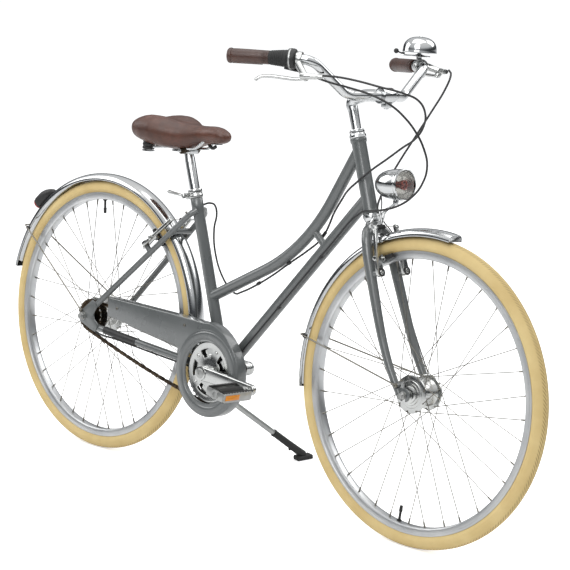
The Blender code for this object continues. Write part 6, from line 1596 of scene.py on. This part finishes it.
def seat_hardware():
    top = on_seat(0.547)
    post = lathe(mm((0, 301), (12, 301), (12.6, 303), (12.7, 530), (11.8, 539), (11.8, 547), (0, 547)),
            SEAT, 40)
    head = [post]
    clamp = Vector((top.x, 0, 0.81))
    head.append(soften(block((0.04, 0.03, 0.013), move(clamp - UP * 0.007)), 0.004, 3))
    jaws = []
    for side in (-1, 1):
        jaw = move(clamp + ACROSS * side * 0.022)
        jaws.append(soften(rod(clamp + ACROSS * side * 0.0165 - UP * 0.002,
                clamp + ACROSS * side * 0.0275 - UP * 0.002, 0.013, sides=32), 0.0015))
        jaws.append(soften(block((0.034, 0.0095, 0.011), jaw), 0.003, 2))
        head.append(soften(rod(clamp + ACROSS * side * 0.0275 - UP * 0.006,
                clamp + ACROSS * side * 0.034 - UP * 0.006, 0.0058, sides=6), 0.0006))
    settle(merge(*head), "seat_post_head", "seat_post", CHROME, ("seat_post",), 35)
    settle(merge(*jaws), "rail_clamp_jaws", "seat_post", OILED, (), 35)
    half = [Vector((0.1995, 0.05, 0.8045)), Vector((0.225, 0.036, 0.808)), Vector((0.244, 0.022, 0.811)),
            Vector((0.258, 0.022, 0.811)), Vector((0.308, 0.022, 0.811)), Vector((0.322, 0.022, 0.814)),
            Vector((0.352, 0.014, 0.838)), Vector((0.3725, 0.006, 0.8465))]
    loop = half + [side_point(point, -1) for point in reversed(half)]
    settle(pipe(loop, 0.0035, sides=16, resolution=8), "rail_wire", "seat_post", CHROME,
            ("saddle_rails",), 60)
    outline = mm((146, 50), (160, 64), (185, 72), (215, 70), (245, 54), (275, 36), (310, 20), (350, 12),
            (385, 10))
    outline += [(x, -y) for x, y in reversed(outline)]
    pan = [soften(slab(outline, 0.01, move((0, 0, 0.833))), 0.003, 2)]
    for side in (-1, 1):
        profile = [(0, 0.0)]
        for number in range(4):
            at = 0.002 + number * 0.0088
            profile += [(0.0138, at), (0.0152, at + 0.002), (0.0152, at + 0.0052), (0.0136, at + 0.0074)]
        pan.append(lathe(profile + [(0, 0.037)], move((0.182, side * 0.05, 0.7955)), 40))
    pan.append(pipe(mm((340, 0, 834), (350, 0, 822), (360, 0, 818), (370, 0, 823)), 0.0042, sides=16))
    settle(merge(*pan), "saddle_base", "seat_post", ABS, ("saddle_pan",), 35)
    rings = [lathe(mm((15, 0), (16, 0.8), (16, 2.4), (15, 3.2), (12, 3.2), (12, 0)),
            move((0.182, side * 0.05, 0.7925)), 40, closed=True) for side in (-1, 1)]
    settle(merge(*rings), "elastomer_rings", "seat_post", CHROME, (), 35)


def seat_clamp():
    low = 0.4313
    middle = on_seat(low + 0.0105)
    back = ACROSS.cross(SEAT_UP).normalized()
    collar = lathe([(0.0131, low), (0.0172, low), (0.0178, low + 0.0012), (0.0178, low + 0.007),
            (0.017, low + 0.0084), (0.017, low + 0.0124), (0.0178, low + 0.014), (0.0178, low + 0.0198),
            (0.0172, low + 0.021), (0.0131, low + 0.021)], SEAT, 48, closed=True)
    rear = middle - back * 0.021
    pieces = [collar]
    for side in (-1, 1):
        pieces.append(soften(block((0.014, 0.008, 0.0165), axes(back, ACROSS, SEAT_UP,
                rear + ACROSS * side * 0.006)), 0.002, 2))
    pieces.append(rod(rear - ACROSS * 0.016, rear + ACROSS * 0.018, 0.0028, sides=16))
    pieces.append(soften(rod(rear + ACROSS * 0.012, rear + ACROSS * 0.019, 0.0065, 0.0055, sides=24),
            0.001))
    settle(merge(*pieces), "seat_collar", "frame", POLISHED, ("seat_clamp",), 30)
    at = rear - ACROSS * 0.0215
    away = Vector((-1, 0, 0.1)).normalized()
    cam = soften(rod(at - SEAT_UP * 0.006, at + SEAT_UP * 0.006, 0.005, sides=24), 0.0008)
    blade = pipe([at, at + away * 0.018, at + away * 0.034 - ACROSS * 0.003,
            at + away * 0.05 - ACROSS * 0.004], 0.0038, [0.9, 0.9, 1.0, 1.2], sides=16, resolution=8)
    settle(merge(cam, blade, ball(at + away * 0.05 - ACROSS * 0.004, 0.0046, 16)), "collar_lever",
            "seat_clamp_lever", POLISHED, ("seat_clamp_lever",), 40)


seat_hardware()
seat_clamp()


# Side stand

def stand():
    """The cast bracket, the bent leg, and the rubber boot with its shoe."""
    at = Vector((0.396, 0.03, 0.2346))
    hinge = Vector((-0.445, 0.895, 0.0)).normalized()
    up = Vector((0, -sin(LEAN), cos(LEAN)))
    foot = Vector((0.474, 0.292, 0.292 * tan(LEAN)))
    slope = foot - at
    elbow = at + (slope - hinge * slope.dot(hinge)).normalized() * 0.026
    end = foot + up * 0.012
    run = (end - elbow).normalized()
    lug = at - hinge * 0.0079
    head = at + hinge * 0.0079
    bracket = [soften(block((0.026, 0.032, 0.016), move((0.393, 0, 0.2797))), 0.003, 2),
            rod((0.393, 0.0, 0.2777), lug - hinge * 0.011, 0.011, 0.0085, sides=32),
            soften(rod(lug - hinge * 0.016, lug, 0.013, sides=40), 0.0014),
            rod(lug - hinge * 0.004, head + hinge * 0.002, 0.005, sides=24),
            bolt(head, hinge, 0.008, 0.003)]
    settle(merge(*bracket), "stand_bracket", "frame", SATIN, ("kickstand_mount",), 30)
    path = rounded([at + (elbow - at).normalized() * 0.003, elbow, end - run * 0.004], [0.014], 10)
    knuckle = lathe(mm((5.4, -7.5), (12, -7.5), (13, -6.5), (13, 6.5), (12, 7.5), (5.4, 7.5)),
            facing(hinge, at), 40, closed=True)
    settle(merge(knuckle, pipe(path, 0.007, sides=24, straight=True)), "stand_leg", "kickstand", SATIN,
            ("kickstand_leg",), 40)
    length = 0.115
    boot = lathe([(0.0074, 0), (0.0088, 0), (0.0095, 0.0012), (0.0095, 0.005), (0.0088, 0.006),
            (0.009, 0.06), (0.01, 0.1), (0.0105, length - 0.002), (0.0095, length), (0.0074, length)],
            facing(run, end - run * length), 40, closed=True)
    forward = Vector((run.x, run.y, 0)).normalized()
    toe = (forward - up * forward.dot(up)).normalized()
    across = up.cross(toe)
    sole = soften(block((0.046, 0.026, 0.012), axes(toe, across, up, foot + up * 0.006)), 0.0035, 3)
    heel = soften(block((0.026, 0.02, 0.012), axes(run, across, run.cross(across), end - run * 0.01)),
            0.004, 3)
    nub = soften(rod(end - run * 0.052 - up * 0.004, end - run * 0.052 - up * 0.015, 0.0042, 0.0034,
            sides=20), 0.001)
    settle(merge(boot, sole, heel, nub), "stand_boot", "kickstand", RUBBER,
            ("kickstand_foot",), 35)


stand()


# Small fittings of the frame

def fittings():
    """Clips for the cables, the stops' ferrules and the chain stay's black protector."""
    black = []
    for place in mm((760, -17.8, 607), (640, -17.8, 470), (530, -17.8, 344.5)):
        at = Vector(place)
        black.append(soften(block((0.01, 0.008, 0.0075),
                move(at + ACROSS * 0.002) @ Matrix.Rotation(radians(-48), 4, "Y")), 0.0018))
    for place in ((0.646, 0.0, 0.5755), (0.552, 0.0, 0.513)):
        black.append(soften(block((0.012, 0.0075, 0.008),
                move(Vector(place) + UP * 0.001) @ Matrix.Rotation(radians(-34), 4, "Y")), 0.002))
    black.append(soften(rod((0.7435, 0.0125, 0.663), (0.725, 0.0125, 0.639), 0.004, sides=16), 0.0006))
    sleeve = [side_point(point, -1) for point in mm((190, 50.8, 311), (150, 53.2, 314.6),
            (75, 58.2, 322.2))]
    black.append(pipe(sleeve, 0.0098, sides=24, resolution=4))
    settle(merge(*black), "cable_clips", "frame", ABS, (), 35)
    pins = []
    for side in (-1, 1):
        pins.append(bolt(side_point(STAY_TOP, side) + Vector((-0.006, side * 0.006, 0.004)), ACROSS * side,
                0.003, 0.002))
    settle(merge(*pins), "stay_bolts", "frame", STAINLESS, (), 30)


fittings()


# CAD nodes whose shapes are right keep them and get their real finish

SHOWN = {OILED: ("crank_spindle",)}


def refinish():
    for material, nodes in SHOWN.items():
        for node in nodes:
            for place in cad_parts[node].material_slots:
                place.link = "OBJECT"
                place.material = material


refinish()
camera()
studio()
